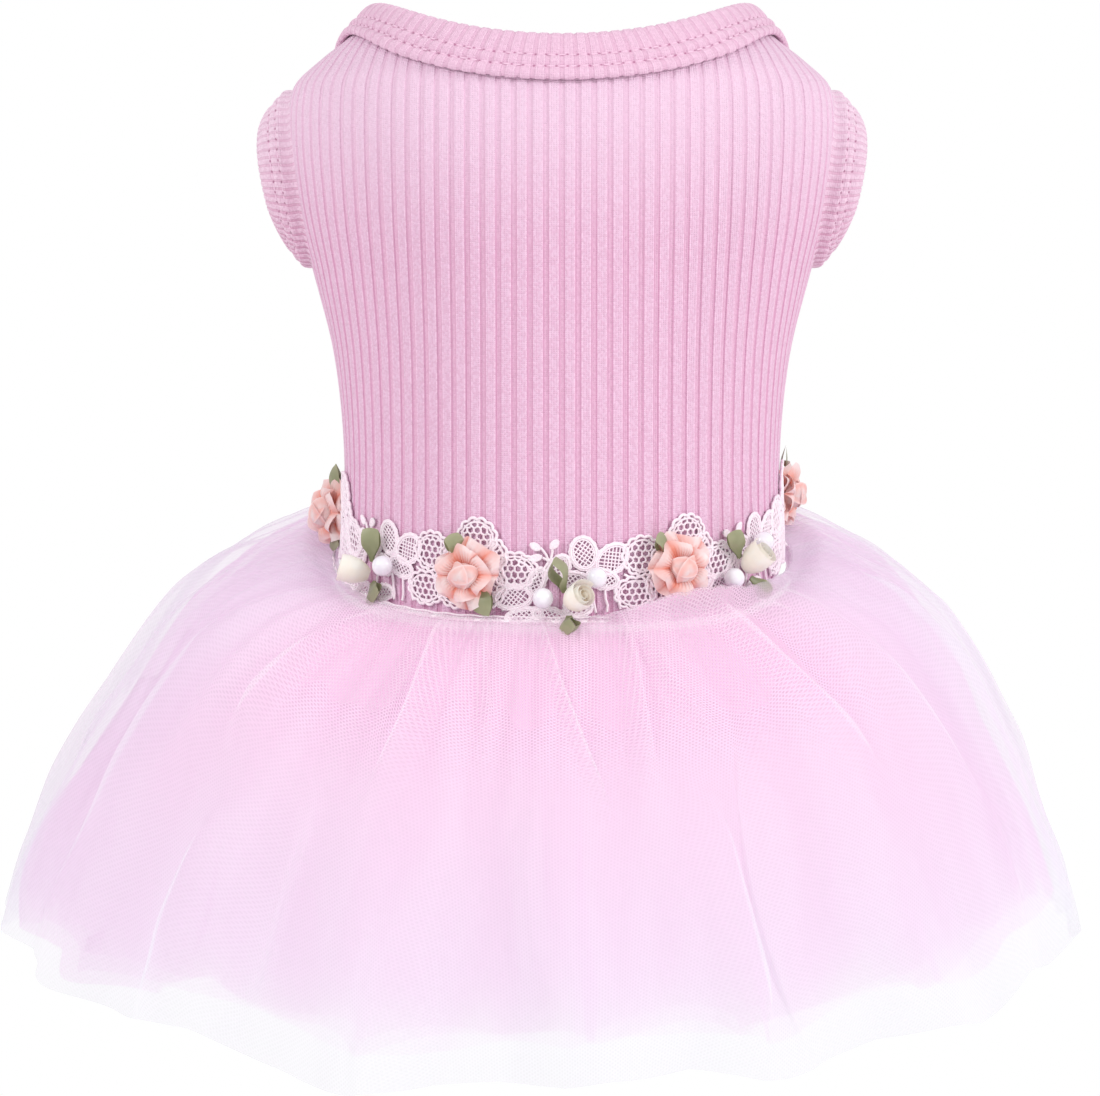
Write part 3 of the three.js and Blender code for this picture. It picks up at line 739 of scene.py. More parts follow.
def swept_band(name, section_at, section, stitch_rows, rib_pitch, rib_depth, colours):
    """A ribbed band. section_at(turn, place, out) gives its points, section its (place, out) rows."""
    rough = section_at(np.linspace(0, 2 * np.pi, 361), *section[len(section) // 3])
    girth = np.linalg.norm(np.diff(rough, axis=0), axis=1).sum()
    ribs = round(girth / rib_pitch)
    turn = np.linspace(0, 2 * np.pi, ribs * BAND_COLUMNS_PER_RIB + 1)
    points = np.stack([section_at(turn, place, out) for place, out in section], 0)
    steps = np.linalg.norm(np.diff(points[len(section) // 3], axis=0), axis=1)
    along = np.concatenate([[0], np.cumsum(steps)]) / steps.sum() * ribs * RIB_PITCH
    points = points[:, :-1]
    normal = outward_of(points)
    points = points + normal * ((rib_height(along[:-1]) - 1) * rib_depth)[None, :, None]
    reach = np.concatenate([[0], np.cumsum(np.linalg.norm(np.diff(points[:, 0], axis=0), axis=1))])
    flat = np.stack(np.broadcast_arrays(along[None, :], reach[:, None]), -1)
    band = grid_object(name, points, flat, ring=True)
    count = round(girth / STITCH_STEP)
    at = np.interp(np.arange(count) / count * along[-1], along, turn)
    parts = []
    for place, out in stitch_rows:
        centre = section_at(at, place, out)
        forth = unit(section_at(at + 0.01, place, out) - section_at(at - 0.01, place, out))
        lift = unit(section_at(at, place, out + 0.5) - section_at(at, place, out))
        parts += bead_chain(centre, forth, lift, THREAD_LENGTH, THREAD_WIDTH)
    stitches = quads_object(name + "_stitches", parts)
    rows = [reach[section.index(row)] for row in stitch_rows]
    holes = (rows[0], rows[1], ribs * RIB_PITCH / count)
    band.data.materials.append(knit_material(name + "_rib", *colours, holes))
    stitches.data.materials.append(thread)
    print(name, "is", round(girth), "mm long with", ribs, "ribs and", count, "stitches a row")
    return joined(name, [band, stitches])


thread = new_material("sewing_thread", 0.6, [("Base Color", linear(242, 204, 226))])[0]

NECK_SECTION = [  # share of the band's height, distance outside the body
    (0.1, 0.5), (-0.08, 0.5), (-0.16, 0.6), (-0.18, 1.2), (-0.16, 1.8), (-0.12, 2.25), (-0.05, 2.45),
    (0.01, 2.3), (0.05, 1.95), (0.08, 1.7), (0.11, 1.95), (0.16, 2.35), (0.21, 2.45), (0.26, 2.3),
    (0.3, 1.9), (0.33, 1.65), (0.36, 1.75), (0.44, 1.95), (0.56, 1.85), (0.68, 1.6), (0.78, 1.1),
    (0.84, 0.4), (0.85, -0.5), (0.8, -1.1), (0.6, -1.4), (0.35, -1.4),
]


def neck_section(turn, share, out):
    return off_body(turn, band_z(turn, share), out + 0 * turn)


neck_band = stand_for(
    swept_band(
        "neck_band_knit", neck_section, NECK_SECTION, [(0.08, 1.7), (0.33, 1.65)],
        NECK_RIB_PITCH, NECK_RIB_DEPTH, NECK_COLOURS,
    ),
    ["neck_band"],
)

# %% Arm bands
LEAN_MIDDLE, LEAN_END = math.radians(20), math.radians(52)


def dot(a, b):
    return (a * b).sum(-1, keepdims=True)


def armhole_frame(turn, sign):
    """Edge points of the armhole, and the directions out, into the hole and along the arm there."""
    hole = ARMHOLE
    angle = sign * np.radians(hole["middle"] + hole["half_width"] * np.cos(turn))
    z = panel_z(angle, hole["middle_down"] - hole["half_down"] * np.sin(turn))
    centre_angle = sign * math.radians(hole["middle"])
    middle = on_body(centre_angle, panel_z(centre_angle, hole["middle_down"]))
    point = on_body(angle, z)
    out = body_frame(angle, z)[2]
    axis = unit(np.array([sign, 0.12, 0.0]))
    inward = middle - point
    into = unit(inward - out * dot(inward, out))
    centre = unit(inward - axis * dot(inward, axis))
    return point, out, axis, into, centre


def arm_band(name, sign):
    def section_at(turn, place, out):
        point, face_out, axis, into, centre = armhole_frame(turn, sign)
        if place < 0:
            return point + into * place + face_out * out
        lean = (LEAN_MIDDLE + (LEAN_END - LEAN_MIDDLE) * np.sin(turn) ** 2)[:, None]
        forth = axis * np.cos(lean) + centre * np.sin(lean)
        face = axis * np.sin(lean) - centre * np.cos(lean)
        face = unit(face_out * (1 - min(place / 3, 1)) + face * min(place / 3, 1))
        return point + forth * place + face * out

    section = [
        (-2.4, -0.6), (-1.6, -0.5), (-0.8, -0.3), (0.1, 0.3), (0.5, 1.1), (1.1, 1.75), (1.8, 1.95),
        (2.4, 1.75), (2.9, 1.45), (3.3, 1.75), (4.0, 2.05), (4.7, 1.85), (5.2, 1.45), (5.7, 1.7),
        (6.6, 1.9), (7.6, 1.7), (8.5, 1.3), (9.2, 0.8), (9.5, 0.1), (9.2, -0.5), (8.4, -0.8),
        (6.0, -0.7), (3.5, -0.7),
    ]
    rows = [(2.9, 1.45), (5.2, 1.45)]
    return swept_band(name, section_at, section, rows, ARM_RIB_PITCH, ARM_RIB_DEPTH, ARM_COLOURS)


arm_bands = [
    stand_for(arm_band(f"arm_band_{side}_knit", sign), [f"arm_band_{side}"])
    for side, sign in (("left", -1), ("right", 1))
]

# %% [markdown]
# ## The gathered skirt
# Four strips of tulle are gathered into the waist seam: a white veil outside and three pink layers
# inside it, each a little shorter than the one over it. The surface follows the CAD: a slope that
# steepens towards the hem and thirteen large folds. What the CAD leaves out is added here: tight gathers
# at the seam, loose folds that lean over themselves, and wavy hems. A cloth simulation would
# gather it too, but it would not put the folds where the photo has them.

# %% Skirt surface
SKIRT_LENGTH, SKIRT_END = 134.0, 122.0
SKIRT_TOP_OUT, SKIRT_TOP_DOWN = 2.0, 0.8
SKIRT_SLOPES = [  # share of the length, slope in degrees at the back and at the flank
    (0.0, 36, -14), (0.2, 52, 12), (0.35, 61, 49), (0.55, 69, 62), (0.8, 76, 69), (1.0, 80, 78),
]
RIGHT_STEEPER = 5
MAIN_FOLDS = [  # degrees at the top, degrees at the hem, half width, rise, longer
    (-117, -120, 8, 4, 1), (-101, -104, 9, 6, 2), (-84, -86, 9, 5, 0), (-66, -67, 9, 6, 2),
    (-50, -47, 8, 4, -1), (-30, -26, 11, 7, 3), (-8, 4, 11, 6, 2), (14, 26, 10, 6, 2),
    (36, 49, 11, 7, 0), (56, 66, 8, 4, -5), (74, 83, 9, 6, -4), (92, 100, 8, 5, -5),
    (110, 117, 9, 5, -2),
]
TULLE_LAYERS = [  # node, length, depth inside the veil at the hem
    ("skirt_veil", 134, 0), ("skirt_upper", 123, 5), ("skirt_middle", 120, 9), ("skirt_lower", 117, 13),
]
LAYER_STEP = 1.4
SLOPE_STEPS = 24


def main_folds(degrees, share):
    """Rise and extra length of the large folds."""
    rise, longer = 0, 0
    for top, hem, half, high, extra in MAIN_FOLDS:
        away = np.abs(degrees - (top + (hem - top) * share)) / half
        swell = np.where(away < 1, (1 + np.cos(np.pi * away)) / 2, 0)
        rise, longer = rise + high * swell, longer + extra * swell
    fade = np.clip(share, 0, 1.2) ** 1.2
    return rise * fade, longer * fade


def skirt_face(degrees, share):
    """Points on the veil's outer face; degrees and share are arrays of one shape."""
    side = np.abs(degrees)
    facing = np.radians(np.where(side < 90, degrees, np.sign(degrees) * (90 + 0.6 * (side - 90))))
    flank = smooth(side, 10, 88)
    steeper = np.radians(RIGHT_STEEPER) * flank * (degrees > 0)
    rise, longer = main_folds(degrees, share)
    length = SKIRT_LENGTH + longer

    def slope_at(part):
        back, side_slope = (from_table(SKIRT_SLOPES, part, column) for column in (1, 2))
        return np.radians(back + (side_slope - back) * flank) + steeper

    reach, drop = np.full(degrees.shape, SKIRT_TOP_OUT), np.full(degrees.shape, SKIRT_TOP_DOWN)
    for k in range(SLOPE_STEPS):
        slope = slope_at(share * (k + 0.5) / SLOPE_STEPS)
        reach = reach + length * share * np.cos(slope) / SLOPE_STEPS
        drop = drop + length * share * np.sin(slope) / SLOPE_STEPS
    slope = slope_at(share)
    outward = np.stack([np.sin(facing), -np.cos(facing), 0 * facing], -1)
    angle = np.radians(degrees)
    points = on_body(angle, waist_z(angle)) + outward * (reach + rise * np.sin(slope))[..., None]
    points[..., 2] += rise * np.cos(slope) - drop
    return points


def on_skirt(degrees, share, depth):
    """Points a depth inside the veil's face, square to it."""
    low, high = np.clip(share - 0.01, 0, None), share + 0.01
    across = skirt_face(degrees + 1, share) - skirt_face(degrees - 1, share)
    down = skirt_face(degrees, high) - skirt_face(degrees, low)
    return skirt_face(degrees, share) + unit(np.cross(across, down)) * depth[..., None]


hem = skirt_face(np.linspace(-SKIRT_END, SKIRT_END, 400), np.ones(400))
print("hem length", round(np.linalg.norm(np.diff(hem, axis=0), axis=1).sum()), "mm")

# %% [markdown]
# ## Tulle
# Tulle is a net with round-cornered holes about a millimetre wide. Its threads are far too
# thin and too many to model, so one node group draws the holes: three cosines at 60 degrees to each
# other have their peaks on a honeycomb. The net covers more where it is gathered, near the waist. The
# shader is part Principled and part Translucent, since light comes through the threads too.

# %% Net material
NET_PITCH = 0.95
NET_RADIUS, NET_SPREAD = 57.0, 0.612  # of the turn that across stands for, at the waist and per mm below
BLUR_BELOW, BLUR_ROUND = (14, 66), (0.5, 1.2)  # mm below the waist; radians from the middle of the back
PALER_BELOW, PALER_ROUND = (0, 130), (0.7, 1.3, 0.0, 0.8)
HEM_FADE = (106, 134)  # mm below the waist
STREAKY_FADE = 9.0
LATER_FADE_ROUND, LATER_FADE_LEFT = (0.6, 1.2, 0.0, 11.0), (-0.8, -1.2, 0.0, 9.0)
STREAK_SCALE, STREAK_STRETCH = 9.0, 0.0022
THROUGH_TULLE = 0.5


def net_group():
    """Net cover from flat coordinates: threads cover fully, holes let through what is behind."""
    group, source, result = new_group(
        "tulle_net",
        [("Across", "NodeSocketFloat", 0.0), ("Along", "NodeSocketFloat", 0.0),
         ("Thread Cover", "NodeSocketFloat", 0.8), ("Hole Cover", "NodeSocketFloat", 0.2),
         ("Fullness", "NodeSocketFloat", 1.0)],
        [("Cover", "NodeSocketFloat"), ("Holes", "NodeSocketFloat")],
    )
    total = None
    for turn in (0, 60, 120):
        forth, aside = math.cos(math.radians(turn)), math.sin(math.radians(turn))
        scale = 2 * math.pi / (NET_PITCH * math.sqrt(3) / 2)
        wave = maths(
            group, "COSINE",
            maths(
                group, "ADD",
                maths(group, "MULTIPLY", source.outputs["Across"], forth * scale),
                maths(group, "MULTIPLY", source.outputs["Along"], aside * scale),
            ),
        )
        total = wave if total is None else maths(group, "ADD", total, wave)
    holes = remap(group, total, -0.4, 1.2)
    cover = group.nodes.new("ShaderNodeMix")
    group.links.new(holes, cover.inputs["Factor"])
    group.links.new(source.outputs["Thread Cover"], cover.inputs["A"])
    group.links.new(source.outputs["Hole Cover"], cover.inputs["B"])
    fuller = maths(group, "MULTIPLY", cover.outputs["Result"], source.outputs["Fullness"])
    group.links.new(fuller, result.inputs["Cover"])
    group.links.new(holes, result.inputs["Holes"])
    return group


def streaks(tree, across, along, seed):
    """Thicker and thinner streaks that run from waist to hem, and the angle round in radians."""
    radius = maths(tree, "ADD", maths(tree, "MULTIPLY", along, NET_SPREAD), NET_RADIUS)
    turn = maths(tree, "DIVIDE", across, radius)
    place = tree.nodes.new("ShaderNodeCombineXYZ")
    tree.links.new(turn, place.inputs["X"])
    tree.links.new(maths(tree, "MULTIPLY", along, STREAK_STRETCH), place.inputs["Y"])
    place.inputs["Z"].default_value = seed
    return noise_mask(tree, place.outputs["Vector"], STREAK_SCALE, 0, 0.25, 0.75), turn


def tulle_material(name, seed, top_colour, hem_colour, threads, holes, hem_fade):
    """Net that is part Principled, part Translucent and part clear.

    threads and holes are the cover where the net's holes show, in the middle of the waist, and
    where they blur; hem_fade is what is left of both at the hem.
    """
    material, tree, shader = new_material(name, 0.7, [("Specular IOR Level", 0.0)])
    across, along = flat_map(tree)
    net = group_node(tree, NET, {"Across": across, "Along": along})
    streak, turn = streaks(tree, across, along, seed)
    flank = maths(tree, "ABSOLUTE", turn)
    blurred = maths(tree, "MAXIMUM", remap(tree, along, *BLUR_BELOW), remap(tree, flank, *BLUR_ROUND))
    for label, (top, bottom) in (("Thread Cover", threads), ("Hole Cover", holes)):
        tree.links.new(remap(tree, blurred, 0, 1, top, bottom), net.inputs[label])
    if hem_fade < 1:
        uneven = maths(tree, "ADD", along, maths(tree, "MULTIPLY", streak, STREAKY_FADE))
        uneven = maths(tree, "SUBTRACT", uneven, remap(tree, flank, *LATER_FADE_ROUND))
        uneven = maths(tree, "SUBTRACT", uneven, remap(tree, turn, *LATER_FADE_LEFT))
        fullness = remap(tree, uneven, *HEM_FADE, 1.0, hem_fade)
    else:
        fullness = remap(tree, streak, 0.0, 1.0, 0.88, 1.12)
    tree.links.new(fullness, net.inputs["Fullness"])
    paler = maths(tree, "MAXIMUM", remap(tree, along, *PALER_BELOW), remap(tree, flank, *PALER_ROUND))
    colour = blend_colours(tree, paler, top_colour, hem_colour)
    tree.links.new(colour, shader.inputs["Base Color"])
    clear = tree.nodes.new("ShaderNodeBsdfTransparent")
    lit = light_through(tree, shader, colour, THROUGH_TULLE)
    set_surface(tree, mix_shaders(tree, net.outputs["Cover"], clear.outputs["BSDF"], lit))
    return material


NET = net_group()
white_tulle = tulle_material(
    "white_tulle", 1.0, linear(255, 244, 252), linear(244, 245, 250), (0.64, 0.49), (0.2, 0.45), 1.0
)
pink_tulle = tulle_material(
    "pink_tulle", 5.0, linear(255, 224, 246), linear(254, 235, 252), (0.88, 0.62), (0.56, 0.58), 0.3
)

# %% [markdown]
# ## Folds of the four layers
# Near the seam all layers share the same tight gathers. Lower down each one goes its own way: its loose
# folds are set by a seeded generator. The veil's main creases are placed from the photo. Where
# one leans over far enough the net lies in three thicknesses, which is what makes a pale line in
# gathered tulle. A header above the seam is taller on the right, where the veil bulges over the lace.

# %% Tulle layers
GATHERS, LOOSE_GATHERS, GATHER_SEED = 104, 41, 7
HEADER = [  # degrees, height above the seam, distance outside the body
    (-122, 1.0, 2.4), (-64, 0.6, 2.4), (-48, 0.4, 2.4), (-30, 0.2, 2.4), (6, 0.4, 2.4), (16, 2.4, 3.4),
    (26, 5.4, 6.0), (34, 6.4, 7.6), (42, 6.0, 6.8), (52, 4.2, 4.6), (64, 4.0, 4.6), (78, 2.0, 3.0),
    (122, 1.0, 2.4),
]


def wandering(degrees, generator, size, turns):
    """A smooth uneven shift along the waist, so that folds are not evenly spaced."""
    total = 0
    for k in range(2, turns):
        start = generator.uniform(0, 2 * math.pi)
        total = total + generator.normal() * np.sin(np.radians(degrees) * k + start) / k**0.8
    return total * size


CREASES = [  # degrees at the start and end, bend, half width, rise, start, end, how far it leans
    (-9, 9, 0, 1.3, 1.9, -0.1, 0.50, 0.9), (-31, -29, 5, 3.4, 2.8, -0.1, 0.52, -0.66),
    (-43, -53, 0, 3.6, 2.6, -0.1, 0.5, -0.5), (-57, -58, 0, 5.0, 2.4, 0.0, 0.62, -0.3),
    (15.5, 13.5, -1, 2.4, 2.0, -0.1, 0.42, 0.6), (37, 51, -2, 3.4, 2.6, -0.1, 0.56, 0.62),
    (58, 68, -4, 5.0, 2.6, -0.1, 0.8, 0.35), (-22, -13, 0, 2.0, 1.8, -0.1, 0.28, 0.6),
    (84, 76, -6, 6.0, 2.6, 0.0, 0.8, 0.3), (-62, -71, 0, 6.0, 2.6, 0.0, 0.8, -0.3),
    (-46, -53, 0, 4.0, 2.6, 0.5, 1.1, -0.5), (-39, -43, 0, 4.0, 2.4, 0.4, 1.0, 0.5),
    (20, 24, 0, 4.2, 2.6, 0.34, 0.95, 0.58), (-98, -104, 2, 5.0, 3.0, 0.0, 0.9, 0.4),
    (103, 108, 2, 5.0, 3.0, 0.1, 1.1, -0.4),
]


def loose_folds(generator, count, height):
    """Random folds in the columns of CREASES; under half of them lean."""
    folds = []
    step = 2 * SKIRT_END / count
    for k in range(count):
        top = -SKIRT_END + (k + generator.uniform(0.1, 0.9)) * step
        start = generator.uniform(-0.1, 0.6)
        folds.append((
            top, top + generator.normal() * 7.0, generator.normal() * 3.0,
            step * generator.uniform(0.3, 0.62), height * generator.uniform(0.35, 1.0), start,
            start + generator.uniform(0.4, 0.9),
            max(generator.uniform(-0.9, 0.7), 0.0) * generator.choice([-1, 1]),
        ))
    return folds


def fold_shifts(degrees, share, folds, radius):
    """Outward rise and sideways shift, in mm, of folds at each point."""
    rise, shift = np.zeros(degrees.shape), np.zeros(degrees.shape)
    for first, last, bend, half, high, start, end, lean in folds:
        part = np.clip((share - start) / (end - start), 0, 1)
        centre = first + (last - first) * part + bend * np.sin(np.pi * part)
        away = (degrees - centre) / half
        swell = np.where(np.abs(away) < 1, (1 + np.cos(np.pi * away)) / 2, 0)
        fade = (end - start) * 0.3
        grown = smooth(share, start, start + fade) * (1 - smooth(share, end - fade, end))
        rise += high * swell * grown
        shift += lean * 1.1 * swell * np.radians(half) * radius * grown
    return rise, shift


HEM_CUTS = [  # degrees, mm that the hem stops short of the solid's
    (-122, 0), (-88, -3), (-72, -2), (-56, -1.5), (-46, 2), (-32, 0.5), (-24, 1), (-16, 5), (-8, 6),
    (0, 4.5), (8, 6.5), (16, 9), (24, 5), (32, 4), (40, 6.5), (48, 4), (56, 1), (64, 1), (72, 3),
    (88, 1), (122, 0),
]
FLANK_DEPTHS = [(0, 0), (0.06, -3.2), (0.15, 0.2), (0.28, 2.4), (0.55, 3.4), (0.7, 2.4), (0.9, 0)]
FOLD_MEAN = 2.2
LEFT_LONGER = 9.0  # mm that the pink layers are longer on the far left
FIRST_SHARE = 0.035  # where the skirt's grid starts below a header
HEADER_LENGTH, HEADER_OUT = 7.0, 2.4


def tulle_shares(index, degrees, share, length_share, seed):
    """How far down the veil's face each point lies, with the cuts and waves of the hem."""
    longer = LEFT_LONGER * smooth(-degrees, 48, 72) if index else 0
    cut = from_table(HEM_CUTS, degrees) - longer
    wave = (0.009 if index else 0.003) * (
        np.sin(np.radians(degrees) * 9 + seed) + 0.7 * np.sin(np.radians(degrees) * 23 + 2 * seed)
    )
    return share * (length_share - cut / SKIRT_LENGTH) + wave * smooth(share, 0.6, 1.0)


def tulle_depths(index, degrees, share):
    """How far inside the veil's face each point lies; the flanks are pulled in."""
    flank = smooth(np.abs(degrees), 45, 85)
    depth = index * LAYER_STEP + TULLE_LAYERS[index][2] * share
    depth = depth + flank * from_table(FLANK_DEPTHS, share)
    if index:
        depth = depth + index * flank * smooth(share, 0.08, 0.4)
        depth = depth * (1 - 0.35 * flank * smooth(share, 0.5, 0.85))
    return depth


def gathered_rise(degrees, share):
    """The tight gathers at the seam and the wider ones below them, alike in all layers."""
    phase = degrees + wandering(degrees, np.random.default_rng(GATHER_SEED), 1.3, 9)
    tight = np.cos(2 * np.pi * phase * GATHERS / (2 * SKIRT_END))
    heights = 0.65 + 0.35 * np.sin(np.radians(degrees) * 31 + 1.3 * np.sin(np.radians(degrees) * 12))
    rise = 0.5 * tight * heights * np.exp(-((share / 0.13) ** 1.3))
    drift = phase + 5 * np.sin(np.radians(phase) * 5 + 1) * share
    wide = np.cos(2 * np.pi * (drift * 1.02 + 3) * LOOSE_GATHERS / (2 * SKIRT_END))
    return rise + 0.42 * wide * smooth(share, 0.02, 0.2) * (1 - smooth(share, 0.2, 0.6))


def tulle_points(index, degrees, share, length_share, seed):
    """Points of one layer below the seam: its depth, its gathers and its own loose folds."""
    share = tulle_shares(index, degrees, share, length_share, seed)
    depth = tulle_depths(index, degrees, share)
    radius = NET_RADIUS + NET_SPREAD * SKIRT_LENGTH * share
    folds = loose_folds(np.random.default_rng(seed), 24 - 2 * index, 2.4 if index else 3.0)
    if index == 0:
        folds = folds + CREASES
    fold_rise, fold_shift = fold_shifts(degrees, share, folds, radius)
    base = on_skirt(degrees, share, depth)
    across = unit(on_skirt(degrees + 0.5, share, depth) - base)
    down = unit(skirt_face(degrees, share + 0.01) - skirt_face(degrees, share))
    out = -unit(np.cross(across, down))
    fold_rise = fold_rise * (0.63 if index else 0.9) - FOLD_MEAN * smooth(share, 0.05, 0.3)
    rise = gathered_rise(degrees, share) + fold_rise
    points = base + out * rise[..., None] + across * fold_shift[..., None]
    if index < 2:
        up, away = (from_table(HEADER, degrees, column) for column in (1, 2))
        bulge = 0.7 * (away - HEADER_OUT) * np.exp(-share / 0.11) * (1 - 0.25 * index)
        points += out * bulge[..., None]
        points[..., 2] += (up - 0.2) * np.exp(-share / 0.05) * 0.35
    return points


def header_rows(index, degrees):
    """The net's way up from the seam and over its edge, above the first skirt row."""
    up, away = (from_table(HEADER, degrees, column) for column in (1, 2))
    ripple = 0.35 * np.sin(np.radians(degrees) * 57) + 0.25 * np.sin(np.radians(degrees) * 91 + 1)
    up = up + ripple * 0.5 - index * 0.6
    away = away - index * 0.7
    angle = np.radians(degrees)
    rows = []
    for height, out in ((0.0, 0.5), (0.55, 0.72), (0.9, 0.9), (1.0, 1.0), (0.93, 1.12)):
        above = -1.2 + (up + 1.2) * height
        rows.append(off_body(angle, waist_z(angle) + above, away * out + ripple * 0.4 * out))
    return np.stack(rows, 0)


def tulle_layer(name, index, columns, rows, seed, material):
    node, length, _ = TULLE_LAYERS[index]
    first = FIRST_SHARE if index < 2 else 0.0
    share_rows = first + (1 - first) * np.linspace(0, 1, rows) ** 1.15
    degrees = np.linspace(-SKIRT_END, SKIRT_END, columns)
    share, degrees = np.meshgrid(share_rows, degrees, indexing="ij")
    points = tulle_points(index, degrees, share, length / SKIRT_LENGTH, seed)
    along = share * length
    if index < 2:
        head = header_rows(index, degrees[0])
        points = np.concatenate([head, points], 0)
        head_along = -np.linspace(HEADER_LENGTH, 1, len(head))[:, None] + 0 * degrees[0]
        along = np.concatenate([head_along, along], 0)
    radius = NET_RADIUS + NET_SPREAD * np.clip(along, 0, None)
    across = np.radians(np.broadcast_to(degrees[0], along.shape)) * radius
    piece = grid_object(name, points[::-1], np.stack([across, along], -1)[::-1])
    return stand_for(piece, [node], material)


veil = tulle_layer("skirt_veil_net", 0, 880, 62, 11, white_tulle)
upper = tulle_layer("skirt_upper_net", 1, 600, 46, 23, pink_tulle)
middle_layer = tulle_layer("skirt_middle_net", 2, 520, 40, 37, pink_tulle)
lower = tulle_layer("skirt_lower_net", 3, 460, 40, 59, pink_tulle)

# %% [markdown]
# ## Lace
# The trim is a cotton lace tape, made on a machine that lays cords side by side. It has three kinds of
# parts: petals of fine square net with a dense border, lobes of coarse honeycomb inside a scalloped
# cord, and sprigs of three solid leaves that stand up from the edge. They come back every 54 mm. The
# parts are charted in a table, in mm along the tape and above the seam, and each is made
# of round cords laid on the bodice. Alpha holes in a flat strip would be lighter, but would look flat.

# %% Cords
LACE_REPEAT_STARTS = (-118.5, -61, -4.5, 50, 106.5)  # degrees where each sprig stands
LACE_REPEAT = 54.5
MM_PER_DEGREE = 0.956
LACE_END = 119.0
LACE_LIFT, LACE_FLARE = 0.6, 2.0


def on_lace(points, start):
    """Tape coordinates (along, above, outside) of one repeat; the tape's foot lies over the tulle."""
    along, above, outside = np.asarray(points, float).T
    angle = np.radians(start + along / MM_PER_DEGREE)
    flare = LACE_FLARE * (1 - smooth(above, -0.3, 2.6))
    return off_body(angle, waist_z(angle) + above, outside + flare)


def tube(points, radius, sides=5):
    """A tube along points as a part; radius is a number or one per point."""
    points = np.asarray(points)
    forth = unit(np.gradient(points, axis=0))
    angle = np.arctan2(points[:, 0], -points[:, 1])
    out = np.stack([np.sin(angle), -np.cos(angle), 0 * angle], -1)
    side = unit(np.cross(forth, out) + 1e-9)
    lift = np.cross(side, forth)
    turn = np.linspace(0, 2 * np.pi, sides + 1)[:-1]
    spoke = np.cos(turn)[:, None, None] * side + np.sin(turn)[:, None, None] * lift
    rings = points[None] + spoke * np.broadcast_to(radius, len(points))[None, :, None]
    return grid_part(rings.transpose(1, 0, 2), ring=True)


# %% Lace pattern
NET_PETALS = [  # centre along and above, half length, half width, turn in degrees
    (9.6, 16.4, 3.9, 3.1, 100), (16.6, 14.8, 4.4, 3.2, 38), (7.4, 9.4, 3.6, 2.2, 170),
    (14.2, 10.0, 3.9, 2.2, -12), (3.6, 12.8, 3.2, 2.2, 60), (46.3, 5.4, 4.6, 2.7, 8),
    (52.0, 9.4, 3.4, 1.9, 66), (49.2, 0.9, 4.2, 1.8, 8), (1.2, 0.9, 3.8, 1.9, -12),
    (8.2, 2.6, 3.4, 1.7, 12),
]
HONEYCOMBS = [  # centre along and above, half width, half height, scallops round the edge
    (24.4, 15.4, 4.7, 4.4, 13), (36.9, 19.6, 4.7, 4.6, 12), (41.9, 15.6, 2.2, 3.4, 8),
    (22.6, 6.2, 4.9, 3.6, 12), (31.2, 8.0, 5.2, 5.4, 14), (39.5, 8.4, 4.6, 5.2, 13),
    (46.6, 12.0, 5.2, 4.0, 12), (31.0, 14.6, 3.6, 3.4, 10),
]
BARS = [  # from along and above, to along and above
    (11, 8, 12.5, 1.6), (15, 8.4, 15.2, 1.8), (17.5, 9, 18.6, 2.4), (5.5, 7.5, 4.6, 3),
    (19.6, 11, 22, 10), (26.8, 10.8, 28, 11.8), (51, 12.2, 47.5, 14.5), (53.8, 12.4, 55.6, 15.2),
    (1.8, 14.6, 0.4, 11.4), (0.4, 11.4, 4.4, 8.2), (42.5, 4.2, 44, 2.0),
]
SPRIG_LEAVES = [  # centre along and above, half length, half width, turn
    (-2.3, 18.0, 1.5, 0.9, 150), (2.4, 18.6, 1.5, 0.95, 48), (-2.2, 15.2, 1.8, 0.9, 192),
]
SPRIG_STEMS = [(-1.0, 17.8, 1.6, 14.2), (1.8, 18.0, 1.8, 13.4), (-0.4, 15.3, 2.6, 13.6)]
FINE_CORD, COARSE_CORD, EDGE_CORD = 0.19, 0.3, 0.42
LEAF_CORD, BAR_CORD, CORD_SWAY = 0.3, 0.36, 0.12


def rotated(points, centre, degrees):
    turn = math.radians(degrees)
    matrix = np.array([[math.cos(turn), math.sin(turn)], [-math.sin(turn), math.cos(turn)]])
    return np.asarray(points) @ matrix + np.array(centre)


def with_lift(points, lift):
    return np.column_stack([points, np.full(len(points), lift)])


def net_petal(centre, half_length, half_width, degrees, pitch=0.88):
    """Cords of a square net and the three cords of its border: (points, radius) pairs."""
    cords = []
    for sign in (1, -1):
        along = np.array([math.cos(math.pi / 4), sign * math.sin(math.pi / 4)])
        across = np.array([-along[1], along[0]])
        for k in range(-9, 10):
            base = across * k * pitch
            weights = np.array([1 / half_length**2, 1 / half_width**2])
            a, b = (along**2 * weights).sum(), 2 * (along * base * weights).sum()
            inside = b * b - 4 * a * ((base**2 * weights).sum() - 1)
            if inside <= 0.2:
                continue
            ends = [(-b - math.sqrt(inside)) / (2 * a), (-b + math.sqrt(inside)) / (2 * a)]
            line = base + np.linspace(*ends, 5)[:, None] * along
            cords.append((with_lift(rotated(line, centre, degrees), LACE_LIFT), FINE_CORD))
    for inset, radius, lift in ((0.0, 0.34, 0.1), (0.5, 0.26, 0.02), (-0.42, 0.24, 0.02)):
        turn = np.linspace(0, 2 * np.pi, 29)
        wave = 0.13 * np.sin(turn * 15) if inset < 0 else 0
        ring = np.column_stack([
            (half_length - inset + wave) * np.cos(turn), (half_width - inset + wave) * np.sin(turn)
        ])
        cords.append((with_lift(rotated(ring, centre, degrees), LACE_LIFT + lift), radius))
    return cords


